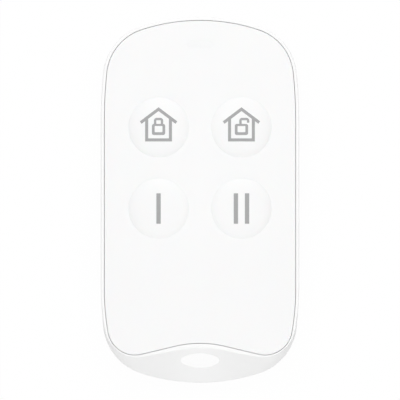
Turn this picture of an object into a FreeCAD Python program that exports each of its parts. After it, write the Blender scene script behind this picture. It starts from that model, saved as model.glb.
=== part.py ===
"""Four-button alarm key fob: clamshell case with a wave-footed front skin, domed keys and a coin cell.

Frame: the fob lies on its back. +Z points out of the front, +Y towards the indicator end, X across.
The origin is on the flat back, under the middle of the outline. Millimetres throughout.
"""
import FreeCAD
import Part
import math
import os

Vector = FreeCAD.Vector

# Outline of the case, seen from the front: three tangent arcs a quarter
case_width = 33.0
case_length = 60.8
end_radius = 31.7
corner_radius = 9.0
flank_radius = 78.6
shoulder_length = 17.3

# Front rim and the wavy foot of the front skin
rim_width = 0.63
seam_gap = 0.16
lip_length = 6.64
wave_depth = 1.95
wave_run = 5.8
lobe_radius = 4.56
lobe_bow = 0.55
foot_flank_radius = 42.0

# Case shells
crown_radius = 180.0
wall = 1.5
rear_wall = 1.2
rear_bevel = 1.4
parting_z = 4.6
side_draft = 0.1
rim_bevel = 0.15
deck_thickness = 0.9
tongue_thickness = 0.7
tongue_board_gap = 0.05
lap_clearance = 0.06
catch_length = 4.0
catch_depth = 0.25
catch_height = 0.4
catch_from_end = 17.4
catch_pitch = 20.0

# Key-ring slot through the lip
slot_length = 6.4
slot_width = 2.56
slot_end_radius = 0.75
slot_from_end = 3.85

# Front skin and indicator window
skin_thickness = 1.9
tab_length = 2.4
tab_thickness = 0.8
tab_clearance = 0.05
tab_tip = 0.4
tab_side_inset = 2.6
tab_from_key = 1.6
lens_length = 4.3
lens_width = 1.1
lens_from_end = 4.6
lens_clearance = 0.03
lens_shoulder = 0.7
lens_shoulder_thickness = 0.5
lens_led_gap = 0.25

# Keys
key_radius = 4.98
key_clearance = 0.04
key_dome_height = 0.52
key_flange_margin = 0.5
key_flange_thickness = 0.6
key_well_clearance = 0.3
key_post_side = 2.8
key_post_length = 1.05
key_pitch_x = 13.74
key_pitch_y = 13.46
key_row_from_end = 18.35
key_travel = 0.35

# Circuit board and the posts that clamp it
board_thickness = 1.0
board_clearance = 0.6
board_foot_from_end = 12.4
post_side = 2.4
post_side_inset = 2.4
post_from_end = 8.8
post_from_board_foot = 3.2
pin_side = 1.2
pin_clearance = 0.05
pin_tip = 0.4

# Tactile switches
switch_side = 5.2
switch_base_height = 1.1
switch_cover_thickness = 0.2
switch_floor = 0.3
switch_wall = 0.6
snap_dome_span = 3.6
snap_dome_flat = 1.4
snap_dome_leg = 1.2
snap_dome_thickness = 0.1
stem_side = 1.8
stem_clearance = 0.08
stem_flange_side = 2.7
stem_rise = 0.6
lead_width = 0.6
lead_length = 0.7
lead_thickness = 0.2
lead_pitch = 3.4

# Coin cell and its contacts
cell_radius = 10.0
cell_height = 3.2
cell_from_end = 37.0
cell_bevel = 0.4
cell_cap_radius = 8.4
cell_cap_height = 0.35
clip_thickness = 0.25
clip_floor_gap = 0.2
clip_width = 6.0
clip_strips = 3
clip_cell_clearance = 0.3
clip_foot = 1.6
clip_slit_width = 0.5
clip_slit_length = 11.0
contact_height = 0.5
contact_thickness = 0.15
contact_width = 4.0
contact_pad = 2.0
contact_finger = 2.6

# Electronics on the board
led_length = 1.6
led_width = 0.8
led_height = 0.7
chip_side = 5.0
chip_height = 0.85
chip_from_end = 25.1
crystal_length = 3.2
crystal_width = 2.5
crystal_height = 0.8
crystal_from_chip = 6.1
antenna_height = 1.9
antenna_thickness = 0.3
antenna_inset = 0.6
antenna_post_gap = 1.0
passive_length = 1.0
passive_width = 0.5
passive_height = 0.35
passive_pitch_x = 1.6
passive_pitch_y = 1.1
passive_rows = 3
passive_columns = 3
passive_from_end = 12.9
passive_side_x = 2.4

# Case screws
screw_radius = 0.85
screw_clearance = 0.15
pilot_clearance = 0.02
screw_length = 5.2
screw_end_gap = 0.4
screw_head_radius = 1.5
screw_head_height = 1.0
screw_head_recess = 0.4
screw_head_clearance = 0.15
boss_radius = 2.2
cross_width = 0.42
cross_length = 1.9
cross_depth = 0.6

# Stack from the back to the front. A snap dome is as high as its key travels before it lies flat
snap_dome_height = key_travel + snap_dome_thickness
floor_z = rear_wall
clip_z = floor_z + clip_floor_gap
cell_z = clip_z + clip_thickness
cell_top_z = cell_z + cell_height
board_z = cell_top_z + contact_height
board_top_z = board_z + board_thickness
switch_cover_z = board_top_z + switch_base_height
switch_top_z = switch_cover_z + switch_cover_thickness
stem_top_z = switch_top_z + stem_rise
flange_z = stem_top_z + key_post_length
deck_top_z = flange_z + key_flange_thickness
deck_z = deck_top_z - deck_thickness
crown_z = deck_top_z + skin_thickness
screw_seat_z = screw_head_recess + screw_head_height

# Plan positions
overcut = 1.0
nearness = 0.001
half_width = case_width / 2
half_length = case_length / 2
seam_half_width = half_width - rim_width
inner_half_width = half_width - wall
cavity_inset = wall - rim_width
board_inset = cavity_inset + board_clearance
foot_y = lip_length - half_length
board_foot_y = board_foot_from_end - half_length
slot_y = slot_from_end - half_length
lens_y = half_length - lens_from_end
chip_y = half_length - chip_from_end
cell_y = half_length - cell_from_end
lobe_x = seam_half_width - lobe_radius - lobe_bow
lobe_y = foot_y - wave_depth + lobe_radius
key_names = ("arm", "disarm", "one", "two")
key_columns_x = (-key_pitch_x / 2, key_pitch_x / 2)
key_rows_y = (half_length - key_row_from_end, half_length - key_row_from_end - key_pitch_y)
key_centres = [(x, y) for y in key_rows_y for x in key_columns_x]
key_flange_side = 2 * (key_radius + key_flange_margin)
key_well_side = key_flange_side + 2 * key_well_clearance


def arc(centre, radius, start, end, z):
    """Arc at height z between two angles in degrees."""
    points = []
    for angle in (start, (start + end) / 2, end):
        turn = math.radians(angle)
        points.append(Vector(centre.x + radius * math.cos(turn), centre.y + radius * math.sin(turn), z))
    return Part.Arc(*points).toShape()


def line(start, end):
    """Straight edge between two points."""
    return Part.LineSegment(start, end).toShape()


def first(edge):
    """Start point of an edge."""
    return edge.valueAt(edge.FirstParameter)


def last(edge):
    """End point of an edge."""
    return edge.valueAt(edge.LastParameter)


def heading(start, end):
    """Angle in degrees of the way from one point to another."""
    return math.degrees(math.atan2(end.y - start.y, end.x - start.x))


def circles_meet(centre_a, radius_a, centre_b, radius_b):
    """The meeting point of two circles on the right of the way from the first centre to the second."""
    way = centre_b - centre_a
    along = (radius_a ** 2 - radius_b ** 2 + way.Length ** 2) / (2 * way.Length)
    across = math.sqrt(radius_a ** 2 - along ** 2)
    unit = way / way.Length
    return centre_a + unit * along + Vector(unit.y, -unit.x, 0) * across


def shoulder_arcs(offset, z):
    """Flank and corner arcs of the indicator end, on the right, and the whole end arc."""
    end = Vector(0, half_length - end_radius, 0)
    flank = Vector(half_width - flank_radius, half_length - shoulder_length, 0)
    corner = circles_meet(end, end_radius - corner_radius, flank, flank_radius - corner_radius)
    flank_turn = heading(flank, corner)
    corner_turn = heading(end, corner)
    return (
        arc(flank, flank_radius + offset, 0, flank_turn, z),
        arc(corner, corner_radius + offset, flank_turn, corner_turn, z),
        arc(end, end_radius + offset, corner_turn, 180 - corner_turn, z),
    )


def wave_turn():
    """Slope in degrees of the straight run between the wave's crest and its lobe."""
    span = crest_lobe_span()
    return math.degrees(math.atan2(lobe_x, span - wave_depth) - math.atan2(wave_run, span))


def crest_lobe_span():
    """Radius of the wave's crest and of its lobe, added up, that join over the straight run."""
    return (lobe_x ** 2 + wave_depth ** 2 - wave_run ** 2) / (2 * wave_depth)


def ring(foot, right, end):
    """Wire of a foot edge, the edges of the right side, their mirror images and the end arc."""
    left = [edge.mirror(Vector(0, 0, 0), Vector(1, 0, 0)) for edge in right]
    return Part.Wire(Part.__sortEdges__([foot, end] + right + left))


def case_outline(offset, z):
    """Outline of the case. Its foot arc is split under the wave's crest, run and lobe."""
    flank, corner, end = shoulder_arcs(offset, z)
    low_flank = flank.mirror(Vector(0, 0, z), Vector(0, 1, 0))
    low_corner = corner.mirror(Vector(0, 0, z), Vector(0, 1, 0))
    centre = Vector(0, end_radius - half_length, 0)
    crest_radius = crest_lobe_span() - lobe_radius
    crest_half_width = crest_radius * math.sin(math.radians(wave_turn()))
    crest_turn = math.degrees(math.asin(crest_half_width / end_radius))
    run = arc(centre, end_radius + offset, crest_turn - 90, heading(centre, last(low_corner)), z)
    foot = arc(centre, end_radius + offset, -90 - crest_turn, crest_turn - 90, z)
    side = line(first(low_flank), first(flank))
    return ring(foot, [run, low_corner, low_flank, side, flank, corner], end)


def wave_outline(offset, z, lift=0.0):
    """Outline of the front skin's seam, grown by an offset, with its wavy foot moved up by a lift."""
    flank, corner, end = shoulder_arcs(offset - rim_width, z)
    turn = wave_turn()
    crest_radius = crest_lobe_span() - lobe_radius
    crest = Vector(0, foot_y + lift - crest_radius, 0)
    lobe = Vector(lobe_x, lobe_y + lift, 0)
    lean = math.degrees(math.acos(1 - lobe_bow / (foot_flank_radius - lobe_radius)))
    reach = foot_flank_radius - lobe_radius
    low_flank = Vector(
        lobe.x - reach * math.cos(math.radians(lean)), lobe.y + reach * math.sin(math.radians(lean)), 0
    )
    crest_edge = arc(crest, crest_radius - offset, 90 + turn, 90 - turn, z)
    lobe_edge = arc(lobe, lobe_radius + offset, -90 - turn, -lean, z)
    low_flank_edge = arc(low_flank, foot_flank_radius + offset, -lean, 0, z)
    run = line(last(crest_edge), first(lobe_edge))
    side = line(last(low_flank_edge), first(flank))
    return ring(crest_edge, [run, lobe_edge, low_flank_edge, side, flank, corner], end)


def prism(wire, height):
    """Solid raised from a flat wire."""
    return Part.Face(wire).extrude(Vector(0, 0, height))


def cylinder(x, y, z, radius, height):
    """Upright cylinder with its foot at (x, y, z)."""
    return Part.makeCylinder(radius, height, Vector(x, y, z))


def block(x, y, z, length, width, height):
    """Box centred on (x, y), standing on z."""
    return Part.makeBox(length, width, height, Vector(x - length / 2, y - width / 2, z))


def obround(x, y, z, length, width, height):
    """Upright round-ended bar, long along X."""
    run = (length - width) / 2
    right = arc(Vector(x + run, y, 0), width / 2, -90, 90, z)
    left = arc(Vector(x - run, y, 0), width / 2, 90, 270, z)
    edges = [right, line(last(right), first(left)), left, line(last(left), first(right))]
    return prism(Part.Wire(edges), height)


def oval(x, y, z, length, width, end, height):
    """Upright bar with the outline of an oval of four arcs, long along X, with a given end radius."""
    reach = length / 2 - end
    side = (reach ** 2 + (width / 2) ** 2 - end ** 2) / (width - 2 * end)
    turn = math.degrees(math.atan2(side - width / 2, reach))
    centre_right = Vector(x + reach, y, 0)
    centre_left = Vector(x - reach, y, 0)
    centre_low = Vector(x, y + side - width / 2, 0)
    centre_high = Vector(x, y - side + width / 2, 0)
    edges = [
        arc(centre_right, end, -turn, turn, z),
        arc(centre_high, side, turn, 180 - turn, z),
        arc(centre_left, end, 180 - turn, 180 + turn, z),
        arc(centre_low, side, 180 + turn, 360 - turn, z),
    ]
    return prism(Part.Wire(edges), height)


def slot_oval(z, height):
    """The key-ring slot as a solid."""
    return oval(0, slot_y, z, slot_length, slot_width, slot_end_radius, height)


def crown_height(x):
    """Height of the crowned front at a distance from the middle line."""
    return crown_z - crown_radius + math.sqrt(crown_radius ** 2 - x ** 2)


def crown_slab():
    """Everything under the crowned front."""
    reach = half_width + overcut
    back = -half_length - overcut
    left = Vector(-reach, back, crown_height(reach))
    right = Vector(reach, back, crown_height(reach))
    low_right = Vector(reach, back, -overcut)
    low_left = Vector(-reach, back, -overcut)
    top = Part.Arc(left, Vector(0, back, crown_z), right).toShape()
    profile = Part.Wire([top, line(right, low_right), line(low_right, low_left), line(low_left, left)])
    return Part.Face(profile).extrude(Vector(0, case_length + 2 * overcut, 0))


def edges_where(shape, test):
    """Edges whose every sampled point passes the test."""
    chosen = []
    for edge in shape.Edges:
        span = edge.LastParameter - edge.FirstParameter
        points = [edge.valueAt(edge.FirstParameter + span * share) for share in (0.1, 0.5, 0.9)]
        if all(test(point) for point in points):
            chosen.append(edge)
    return chosen


def above(y, shape):
    """The part of a shape that lies on the indicator end's side of y."""
    height = crown_z + 2 * overcut
    return shape.common(block(0, y + case_length / 2, -overcut, case_width, case_length, height))


def crown_edges(shape):
    """Edges that lie on the crowned front."""
    return edges_where(shape, lambda point: abs(point.z - crown_height(point.x)) < nearness)


def post_centres():
    """Centres of the four posts that clamp the board."""
    x = inner_half_width - post_side_inset
    rows = (half_length - post_from_end, board_foot_y + post_from_board_foot)
    return [(side * x, y) for y in rows for side in (-1, 1)]


def pin_centres():
    """Centres of the two posts, on a diagonal, that also carry a locating pin."""
    centres = post_centres()
    return [centres[0], centres[-1]]


def tab_centres():
    """Centres of the front skin's four tabs, beyond the key wells."""
    x = inner_half_width - tab_side_inset
    reach = key_well_side / 2 + tab_from_key
    return [(side * x, y) for y in (key_rows_y[0] + reach, key_rows_y[-1] - reach) for side in (-1, 1)]


def catches(grow):
    """Snap catches on the long sides of the rear cover's tongue, grown by a clearance."""
    inner_x = inner_half_width - lap_clearance - tongue_thickness / 2
    length = tongue_thickness / 2 + lap_clearance + catch_depth + grow
    low = (parting_z + board_z) / 2 - catch_height / 2 - grow
    blocks = []
    for y in (half_length - catch_from_end, half_length - catch_from_end - catch_pitch):
        for side in (-1, 1):
            x = side * (inner_x + length / 2)
            blocks.append(block(x, y, low, length, catch_length + 2 * grow, catch_height + 2 * grow))
    return Part.makeCompound(blocks)


def front_frame():
    """Upper shell: rim, drafted sides, lip with the key-ring slot, deck, board posts and screw bosses."""
    rise = crown_z - parting_z
    lift = overcut * (lip_length - rim_width) / rise
    foot = case_outline(0, parting_z)
    rim = wave_outline(rim_width - side_draft, crown_z + overcut, lift)
    shell = Part.makeLoft([foot, rim], True, True).common(crown_slab())
    shell = shell.makeChamfer(rim_bevel, crown_edges(shell))
    pocket = prism(wave_outline(seam_gap / 2, deck_top_z), skin_thickness + overcut)
    cavity = prism(wave_outline(-cavity_inset, parting_z - overcut), deck_z - parting_z + overcut)
    shell = shell.cut(pocket).cut(cavity).cut(catches(lap_clearance))
    through = deck_thickness + 2 * overcut
    for x, y in key_centres:
        shell = shell.cut(block(x, y, deck_z - overcut, key_well_side, key_well_side, through))
    for x, y in tab_centres():
        length = tab_length + 2 * tab_clearance
        width = tab_thickness + 2 * tab_clearance
        shell = shell.cut(block(x, y, deck_z - overcut, length, width, through))
    shell = shell.cut(lens_bar(lens_clearance, deck_z - overcut, through))
    for x, y in post_centres():
        shell = shell.fuse(block(x, y, board_top_z, post_side, post_side, deck_z - board_top_z))
    for x, y in pin_centres():
        shell = shell.fuse(block(x, y, board_z - pin_tip, pin_side, pin_side, board_thickness + pin_tip))
    for x in (-lobe_x, lobe_x):
        shell = shell.fuse(cylinder(x, lobe_y, parting_z, boss_radius, deck_z - parting_z))
        depth = screw_seat_z + screw_length + screw_end_gap - parting_z
        shell = shell.cut(cylinder(x, lobe_y, parting_z, screw_radius + pilot_clearance, depth))
    return shell.cut(slot_oval(parting_z - overcut, crown_z))


def rear_cover():
    """Lower shell: bevelled back, tongue that laps inside the upper shell, screw columns and board ribs."""
    shell = prism(case_outline(0, 0), parting_z)
    shell = shell.makeChamfer(rear_bevel, edges_where(shell, lambda point: point.z < nearness))
    tongue_inset = cavity_inset + lap_clearance
    tongue = prism(wave_outline(-tongue_inset, floor_z), board_z - tongue_board_gap - floor_z)
    for x in (-lobe_x, lobe_x):
        tongue = tongue.cut(cylinder(x, lobe_y, parting_z, boss_radius + lap_clearance, board_z))
    cavity = prism(wave_outline(-tongue_inset - tongue_thickness, floor_z), board_z)
    shell = shell.fuse(tongue).fuse(catches(0)).cut(cavity)
    for x in (-lobe_x, lobe_x):
        shell = shell.fuse(cylinder(x, lobe_y, floor_z / 2, boss_radius, parting_z - floor_z / 2))
        shell = shell.cut(cylinder(x, lobe_y, -overcut, screw_radius + screw_clearance, 2 * parting_z))
        recess_radius = screw_head_radius + screw_head_clearance
        shell = shell.cut(cylinder(x, lobe_y, -overcut, recess_radius, overcut + screw_seat_z))
    for x, y in post_centres():
        shell = shell.fuse(block(x, y, floor_z / 2, post_side, post_side, board_z - floor_z / 2))
    for x, y in pin_centres():
        side = pin_side + 2 * pin_clearance
        shell = shell.cut(block(x, y, board_z - 2 * pin_tip, side, side, 3 * pin_tip))
    return shell.cut(slot_oval(-overcut, parting_z + 2 * overcut))


def front_skin():
    """Soft front with the wavy foot, four key openings, the window slot and its locating tabs."""
    skin = prism(wave_outline(-seam_gap / 2, deck_top_z), skin_thickness + overcut).common(crown_slab())
    for x, y in key_centres:
        skin = skin.cut(cylinder(x, y, deck_top_z - overcut, key_radius + key_clearance, 2 * skin_thickness))
    skin = skin.cut(lens_bar(lens_clearance, deck_top_z - overcut, 2 * overcut + skin_thickness))
    for x, y in tab_centres():
        height = tab_tip + deck_thickness + skin_thickness / 2
        skin = skin.fuse(block(x, y, deck_z - tab_tip, tab_length, tab_thickness, height))
    return skin


def key_cap(x, y):
    """Domed key with its square retaining flange and the post that bears on the switch stem."""
    tilt = math.asin(x / crown_radius)
    normal = Vector(math.sin(tilt), 0, math.cos(tilt))
    ball_radius = (key_radius ** 2 + key_dome_height ** 2) / (2 * key_dome_height)
    middle = Vector(x, y, crown_height(x)) + normal * (key_dome_height - ball_radius)
    ball = Part.makeSphere(ball_radius, middle, Vector(0, 1, 0))
    barrel = cylinder(x, y, flange_z, key_radius, crown_z + overcut - flange_z).common(ball)
    flange = block(x, y, flange_z, key_flange_side, key_flange_side, key_flange_thickness)
    post = block(x, y, stem_top_z, key_post_side, key_post_side, key_post_length)
    return barrel.fuse(flange).fuse(post)


def switch_stem(x, y):
    """Plunger of a switch, its square flange held under the metal cover."""
    low = board_top_z + switch_floor + snap_dome_height
    flange = block(x, y, low, stem_flange_side, stem_flange_side, switch_cover_z - low)
    return flange.fuse(block(x, y, low, stem_side, stem_side, stem_top_z - low))


def snap_dome(x, y):
    """Four-legged sprung dome under a switch stem: two pressed strips that cross."""
    low = board_top_z + switch_floor
    top = low + snap_dome_height
    foot = snap_dome_span / 2
    flat = snap_dome_flat / 2
    outer = [(-foot, low), (-flat, top), (flat, top), (foot, low)]
    slope = math.hypot(foot - flat, snap_dome_height) / snap_dome_height
    inner = [(side * (foot - snap_dome_thickness * slope), low) for side in (1, -1)]
    roof = top - snap_dome_thickness
    inner_flat = flat - snap_dome_thickness * (slope - (foot - flat) / snap_dome_height)
    inner[1:1] = [(inner_flat, roof), (-inner_flat, roof)]
    points = [Vector(a, -snap_dome_leg / 2, z) for a, z in outer + inner]
    strip = Part.Face(Part.makePolygon(points + points[:1])).extrude(Vector(0, snap_dome_leg, 0))
    across = strip.copy()
    across.rotate(Vector(0, 0, 0), Vector(0, 0, 1), 90)
    dome = strip.fuse(across)
    dome.translate(Vector(x, y, 0))
    return dome


def switch_base(x, y):
    """Moulded tray of a switch, with the square well of its dome."""
    body = block(x, y, board_top_z, switch_side, switch_side, switch_base_height)
    well = switch_side - 2 * switch_wall
    return body.cut(block(x, y, board_top_z + switch_floor, well, well, switch_base_height))


def switch_cover(x, y):
    """Pressed metal cover of a switch, with its square mouth for the stem."""
    plate = block(x, y, switch_cover_z, switch_side, switch_side, switch_cover_thickness)
    mouth = stem_side + 2 * stem_clearance
    return plate.cut(block(x, y, switch_cover_z - overcut, mouth, mouth, 3 * overcut))


def switch_leads(x, y):
    """Four solder leads of a switch, flat on the board."""
    reach = (switch_side + lead_length) / 2
    return [
        block(x + sx * reach, y + sy * lead_pitch / 2, board_top_z, lead_length, lead_width, lead_thickness)
        for sx in (-1, 1)
        for sy in (-1, 1)
    ]


def lens_bar(grow, z, height):
    """The window's outline raised from z, grown by a clearance."""
    return obround(0, lens_y, z, lens_length + 2 * grow, lens_width + 2 * grow, height)


def indicator_lens():
    """Clear light guide from the status light to the front, with a shoulder under the deck."""
    low = board_top_z + led_height + lens_led_gap
    bar = lens_bar(0, low, crown_z + overcut - low).common(crown_slab())
    length = lens_length + 2 * lens_shoulder
    width = lens_width + 2 * lens_shoulder
    shoulder_z = deck_z - lens_shoulder_thickness
    return bar.fuse(block(0, lens_y, shoulder_z, length, width, lens_shoulder_thickness))


def main_board():
    """Circuit board, following the case and cut straight above the screw bosses."""
    board = above(board_foot_y, prism(wave_outline(-board_inset, board_z), board_thickness))
    for x, y in pin_centres():
        side = pin_side + 2 * pin_clearance
        board = board.cut(block(x, y, board_z - overcut, side, side, board_thickness + 2 * overcut))
    return board


def antenna_strip():
    """Steel strip on edge, soldered round the indicator end of the board."""
    inset = board_inset + antenna_inset
    outer = prism(wave_outline(-inset, board_top_z), antenna_height)
    inner = prism(wave_outline(-inset - antenna_thickness, board_top_z), antenna_height)
    return above(half_length - post_from_end + post_side / 2 + antenna_post_gap, outer.cut(inner))


def board_components():
    """Rows of small chip resistors and capacitors between the chips and the window."""
    solids = []
    for side in (-1, 1):
        for row in range(passive_rows):
            for column in range(passive_columns):
                x = side * (passive_side_x + passive_pitch_x * column)
                y = half_length - passive_from_end + passive_pitch_y * row
                solids.append(block(x, y, board_top_z, passive_length, passive_width, passive_height))
    return solids


def cell_can():
    """Positive can of the coin cell."""
    can = cylinder(0, cell_y, cell_z, cell_radius, cell_height - cell_cap_height)
    return can.makeChamfer(cell_bevel, edges_where(can, lambda point: abs(point.z - cell_z) < nearness))


def cell_cap():
    """Negative cap of the coin cell."""
    return cylinder(0, cell_y, cell_top_z - cell_cap_height, cell_cap_radius, cell_cap_height)


def battery_clip():
    """Sprung steel bridge that holds the cell to the board and takes its positive side."""
    leg_x = cell_radius + clip_cell_clearance
    clip = block(0, cell_y, clip_z, 2 * (leg_x + clip_thickness), clip_width, clip_thickness)
    for side in (-1, 1):
        slit_y = cell_y + side * clip_width / (2 * clip_strips)
        clip = clip.cut(block(0, slit_y, clip_z - overcut, clip_slit_length, clip_slit_width, 3 * overcut))
    for side in (-1, 1):
        leg = block(
            side * (leg_x + clip_thickness / 2), cell_y, clip_z, clip_thickness, clip_width, board_z - clip_z
        )
        foot_z = board_z - clip_thickness
        foot = block(side * (leg_x + clip_foot / 2), cell_y, foot_z, clip_foot, clip_width, clip_thickness)
        clip = clip.fuse(leg).fuse(foot)
    return clip


def battery_contact():
    """Negative contact: a soldered pad with two sprung fingers that bear on the cell's cap."""
    pad_z = board_z - contact_thickness
    pad = contact_pad / 2
    reach = pad + contact_finger
    profile = [
        (-reach, cell_top_z), (-reach, cell_top_z + contact_thickness), (-pad, board_z), (pad, board_z),
        (reach, cell_top_z + contact_thickness), (reach, cell_top_z), (pad, pad_z), (-pad, pad_z),
    ]
    points = [Vector(x, cell_y - contact_width / 2, z) for x, z in profile]
    return Part.Face(Part.makePolygon(points + points[:1])).extrude(Vector(0, contact_width, 0))


def case_screw(x, y):
    """Cross-head screw that draws the rear cover up to the frame's boss."""
    screw = cylinder(x, y, screw_head_recess, screw_head_radius, screw_head_height)
    screw = screw.fuse(cylinder(x, y, screw_seat_z, screw_radius, screw_length))
    low = screw_head_recess - overcut
    for length, width in ((cross_length, cross_width), (cross_width, cross_length)):
        screw = screw.cut(block(x, y, low, length, width, overcut + cross_depth))
    return screw


def all_pieces():
    """Every piece of the fob by name, each one solid or a group of like solids."""
    pieces = {
        "front_frame": front_frame(),
        "rear_cover": rear_cover(),
        "key_panel": front_skin(),
        "indicator_lens": indicator_lens(),
        "main_board": main_board(),
        "antenna_strip": antenna_strip(),
        "radio_chip": block(0, chip_y, board_top_z, chip_side, chip_side, chip_height),
        "crystal": block(
            0, chip_y + crystal_from_chip, board_top_z, crystal_length, crystal_width, crystal_height
        ),
        "status_led": block(0, lens_y, board_top_z, led_length, led_width, led_height),
        "board_components": board_components(),
        "cell_can": cell_can(),
        "cell_cap": cell_cap(),
        "battery_clip": battery_clip(),
        "battery_contact": battery_contact(),
        "case_screws": [case_screw(x, lobe_y) for x in (-lobe_x, lobe_x)],
        "switch_bases": [switch_base(x, y) for x, y in key_centres],
        "switch_covers": [switch_cover(x, y) for x, y in key_centres],
        "switch_leads": [lead for x, y in key_centres for lead in switch_leads(x, y)],
    }
    for name, (x, y) in zip(key_names, key_centres):
        pieces["key_" + name] = key_cap(x, y)
        pieces["stem_" + name] = switch_stem(x, y)
        pieces["snap_dome_" + name] = snap_dome(x, y)
    return pieces


def export(name, shape):
    """Writes one piece, with faces that lie in one surface merged."""
    solids = shape if isinstance(shape, list) else [shape]
    cleaned = [solid.removeSplitter() for solid in solids]
    whole = cleaned[0] if len(cleaned) == 1 else Part.makeCompound(cleaned)
    whole.exportStep(os.path.join("parts", name + ".step"))
    box = whole.BoundBox
    print(
        f"{name:20s} solids {len(whole.Solids)} faces {len(whole.Faces)} volume {whole.Volume:9.2f} "
        f"valid {whole.isValid()} z {box.ZMin:.2f} {box.ZMax:.2f}"
    )


def main():
    """Builds and writes every piece."""
    os.makedirs("parts", exist_ok=True)
    for name, shape in all_pieces().items():
        export(name, shape)


main()
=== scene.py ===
"""Four-button alarm key fob: the dressed model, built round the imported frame.

The fob lies on its back. +Z points out of the front, +Y towards the indicator end and X across.
Shapes are worked out in millimetres, as in the part's source, and turned into metres in the mesh.
"""

import logging
from dataclasses import dataclass, field
from enum import Enum, auto
from functools import cache
from math import acos, asin, atan2, ceil, copysign, cos, dist, pi, radians, sin, sqrt, tan
from typing import Callable, Iterable, Optional, Sequence, Union

import bmesh
import bpy
import numpy as np
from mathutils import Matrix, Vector
from mathutils.bvhtree import BVHTree
from mathutils.geometry import area_tri, delaunay_2d_cdt


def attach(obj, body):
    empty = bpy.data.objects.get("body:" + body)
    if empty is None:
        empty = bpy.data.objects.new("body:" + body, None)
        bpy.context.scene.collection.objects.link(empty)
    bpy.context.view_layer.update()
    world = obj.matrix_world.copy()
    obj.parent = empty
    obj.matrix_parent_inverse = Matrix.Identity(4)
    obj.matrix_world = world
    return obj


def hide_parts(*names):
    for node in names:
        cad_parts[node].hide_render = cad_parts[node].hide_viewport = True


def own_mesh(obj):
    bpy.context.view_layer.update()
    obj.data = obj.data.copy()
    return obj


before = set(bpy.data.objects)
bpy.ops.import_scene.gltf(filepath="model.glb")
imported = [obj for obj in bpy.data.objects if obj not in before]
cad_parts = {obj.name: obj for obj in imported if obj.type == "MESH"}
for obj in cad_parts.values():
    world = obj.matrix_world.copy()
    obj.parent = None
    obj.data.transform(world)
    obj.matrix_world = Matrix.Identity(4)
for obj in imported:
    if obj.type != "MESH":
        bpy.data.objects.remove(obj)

MM = 0.001
SHARP = 0.001
QUARTER = pi / 2
UP, DOWN = Vector((0, 0, 1)), Vector((0, 0, -1))
WHITE = (1.0, 1.0, 1.0, 1.0)
LOG = logging.getLogger("key_fob")

Mesh, Material, Node, Socket = bpy.types.Mesh, bpy.types.Material, bpy.types.Node, bpy.types.NodeSocket
Point2 = tuple[float, float]
Point3 = tuple[float, float, float]
Colour = tuple[float, float, float]
Line = list[tuple[float, float]]
Edges = list[Line]
Columns = list[list[Vector]]
Loop = Callable[[float], Line]
Height = Callable[[float, float], float]
Wire = Union[Socket, Node]
Feed = Union[float, int, bool, Sequence[float], Wire]
Feeds = dict[Union[int, str], Feed]


class Body(Enum):
    """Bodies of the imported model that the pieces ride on."""

    CASE = "case"
    ARM = "key_arm"
    DISARM = "key_disarm"
    ONE = "key_one"
    TWO = "key_two"


KEY_BODIES = tuple(Body)[1:]


@dataclass(frozen=True)
class Round:
    """Rounding of an edge: its size and its steps."""

    size: float
    steps: int


# ---- plan curves


class Segment:
    """Part of an outline in plan."""

    def at(self, share: float) -> Point2:
        """Returns the point at a share of the way along."""
        raise NotImplementedError

    def points(self, steps: int, whole: bool = True) -> Line:
        """Returns points at equal steps, with or without the last."""
        return [self.at(k / steps) for k in range(steps + whole)]


@dataclass(frozen=True)
class Arc(Segment):
    """Arc that turns from a start angle to an end angle in radians."""

    centre: Point2
    radius: float
    start: float
    end: float

    def at(self, share: float) -> Point2:
        """Returns the point at a share of the way along."""
        turn = self.start + (self.end - self.start) * share
        return self.centre[0] + self.radius * cos(turn), self.centre[1] + self.radius * sin(turn)

    def mirrored(self) -> "Arc":
        """Returns the same arc on the other side, run the other way."""
        return Arc((-self.centre[0], self.centre[1]), self.radius, pi - self.end, pi - self.start)

    def flipped(self) -> "Arc":
        """Returns the same arc at the other end, run the other way."""
        return Arc((self.centre[0], -self.centre[1]), self.radius, -self.end, -self.start)


@dataclass(frozen=True)
class Run(Segment):
    """Straight run between two points."""

    start: Point2
    end: Point2

    def at(self, share: float) -> Point2:
        """Returns the point at a share of the way along."""
        return tuple(a + (b - a) * share for a, b in zip(self.start, self.end))

    def mirrored(self) -> "Run":
        """Returns the same run on the other side, run the other way."""
        return Run((-self.end[0], self.end[1]), (-self.start[0], self.start[1]))


def closed_loop(foot: Segment, right: Sequence[Segment], end: Segment, steps: Sequence[int]) -> Line:
    """Samples an outline that is the same on both sides of the middle line.

    Args:
        foot: Segment across the foot, from left to right.
        right: Segments up the right side.
        end: Segment across the end, from right to left.
        steps: Points of the foot, each right segment and the end.

    Returns:
        Points, anticlockwise from the foot's left end.
    """
    left = [segment.mirrored() for segment in reversed(right)]
    row = zip([foot, *right, end, *left], [*steps, *reversed(steps[1:-1])])
    return [spot for segment, count in row for spot in segment.points(count, False)]


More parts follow.
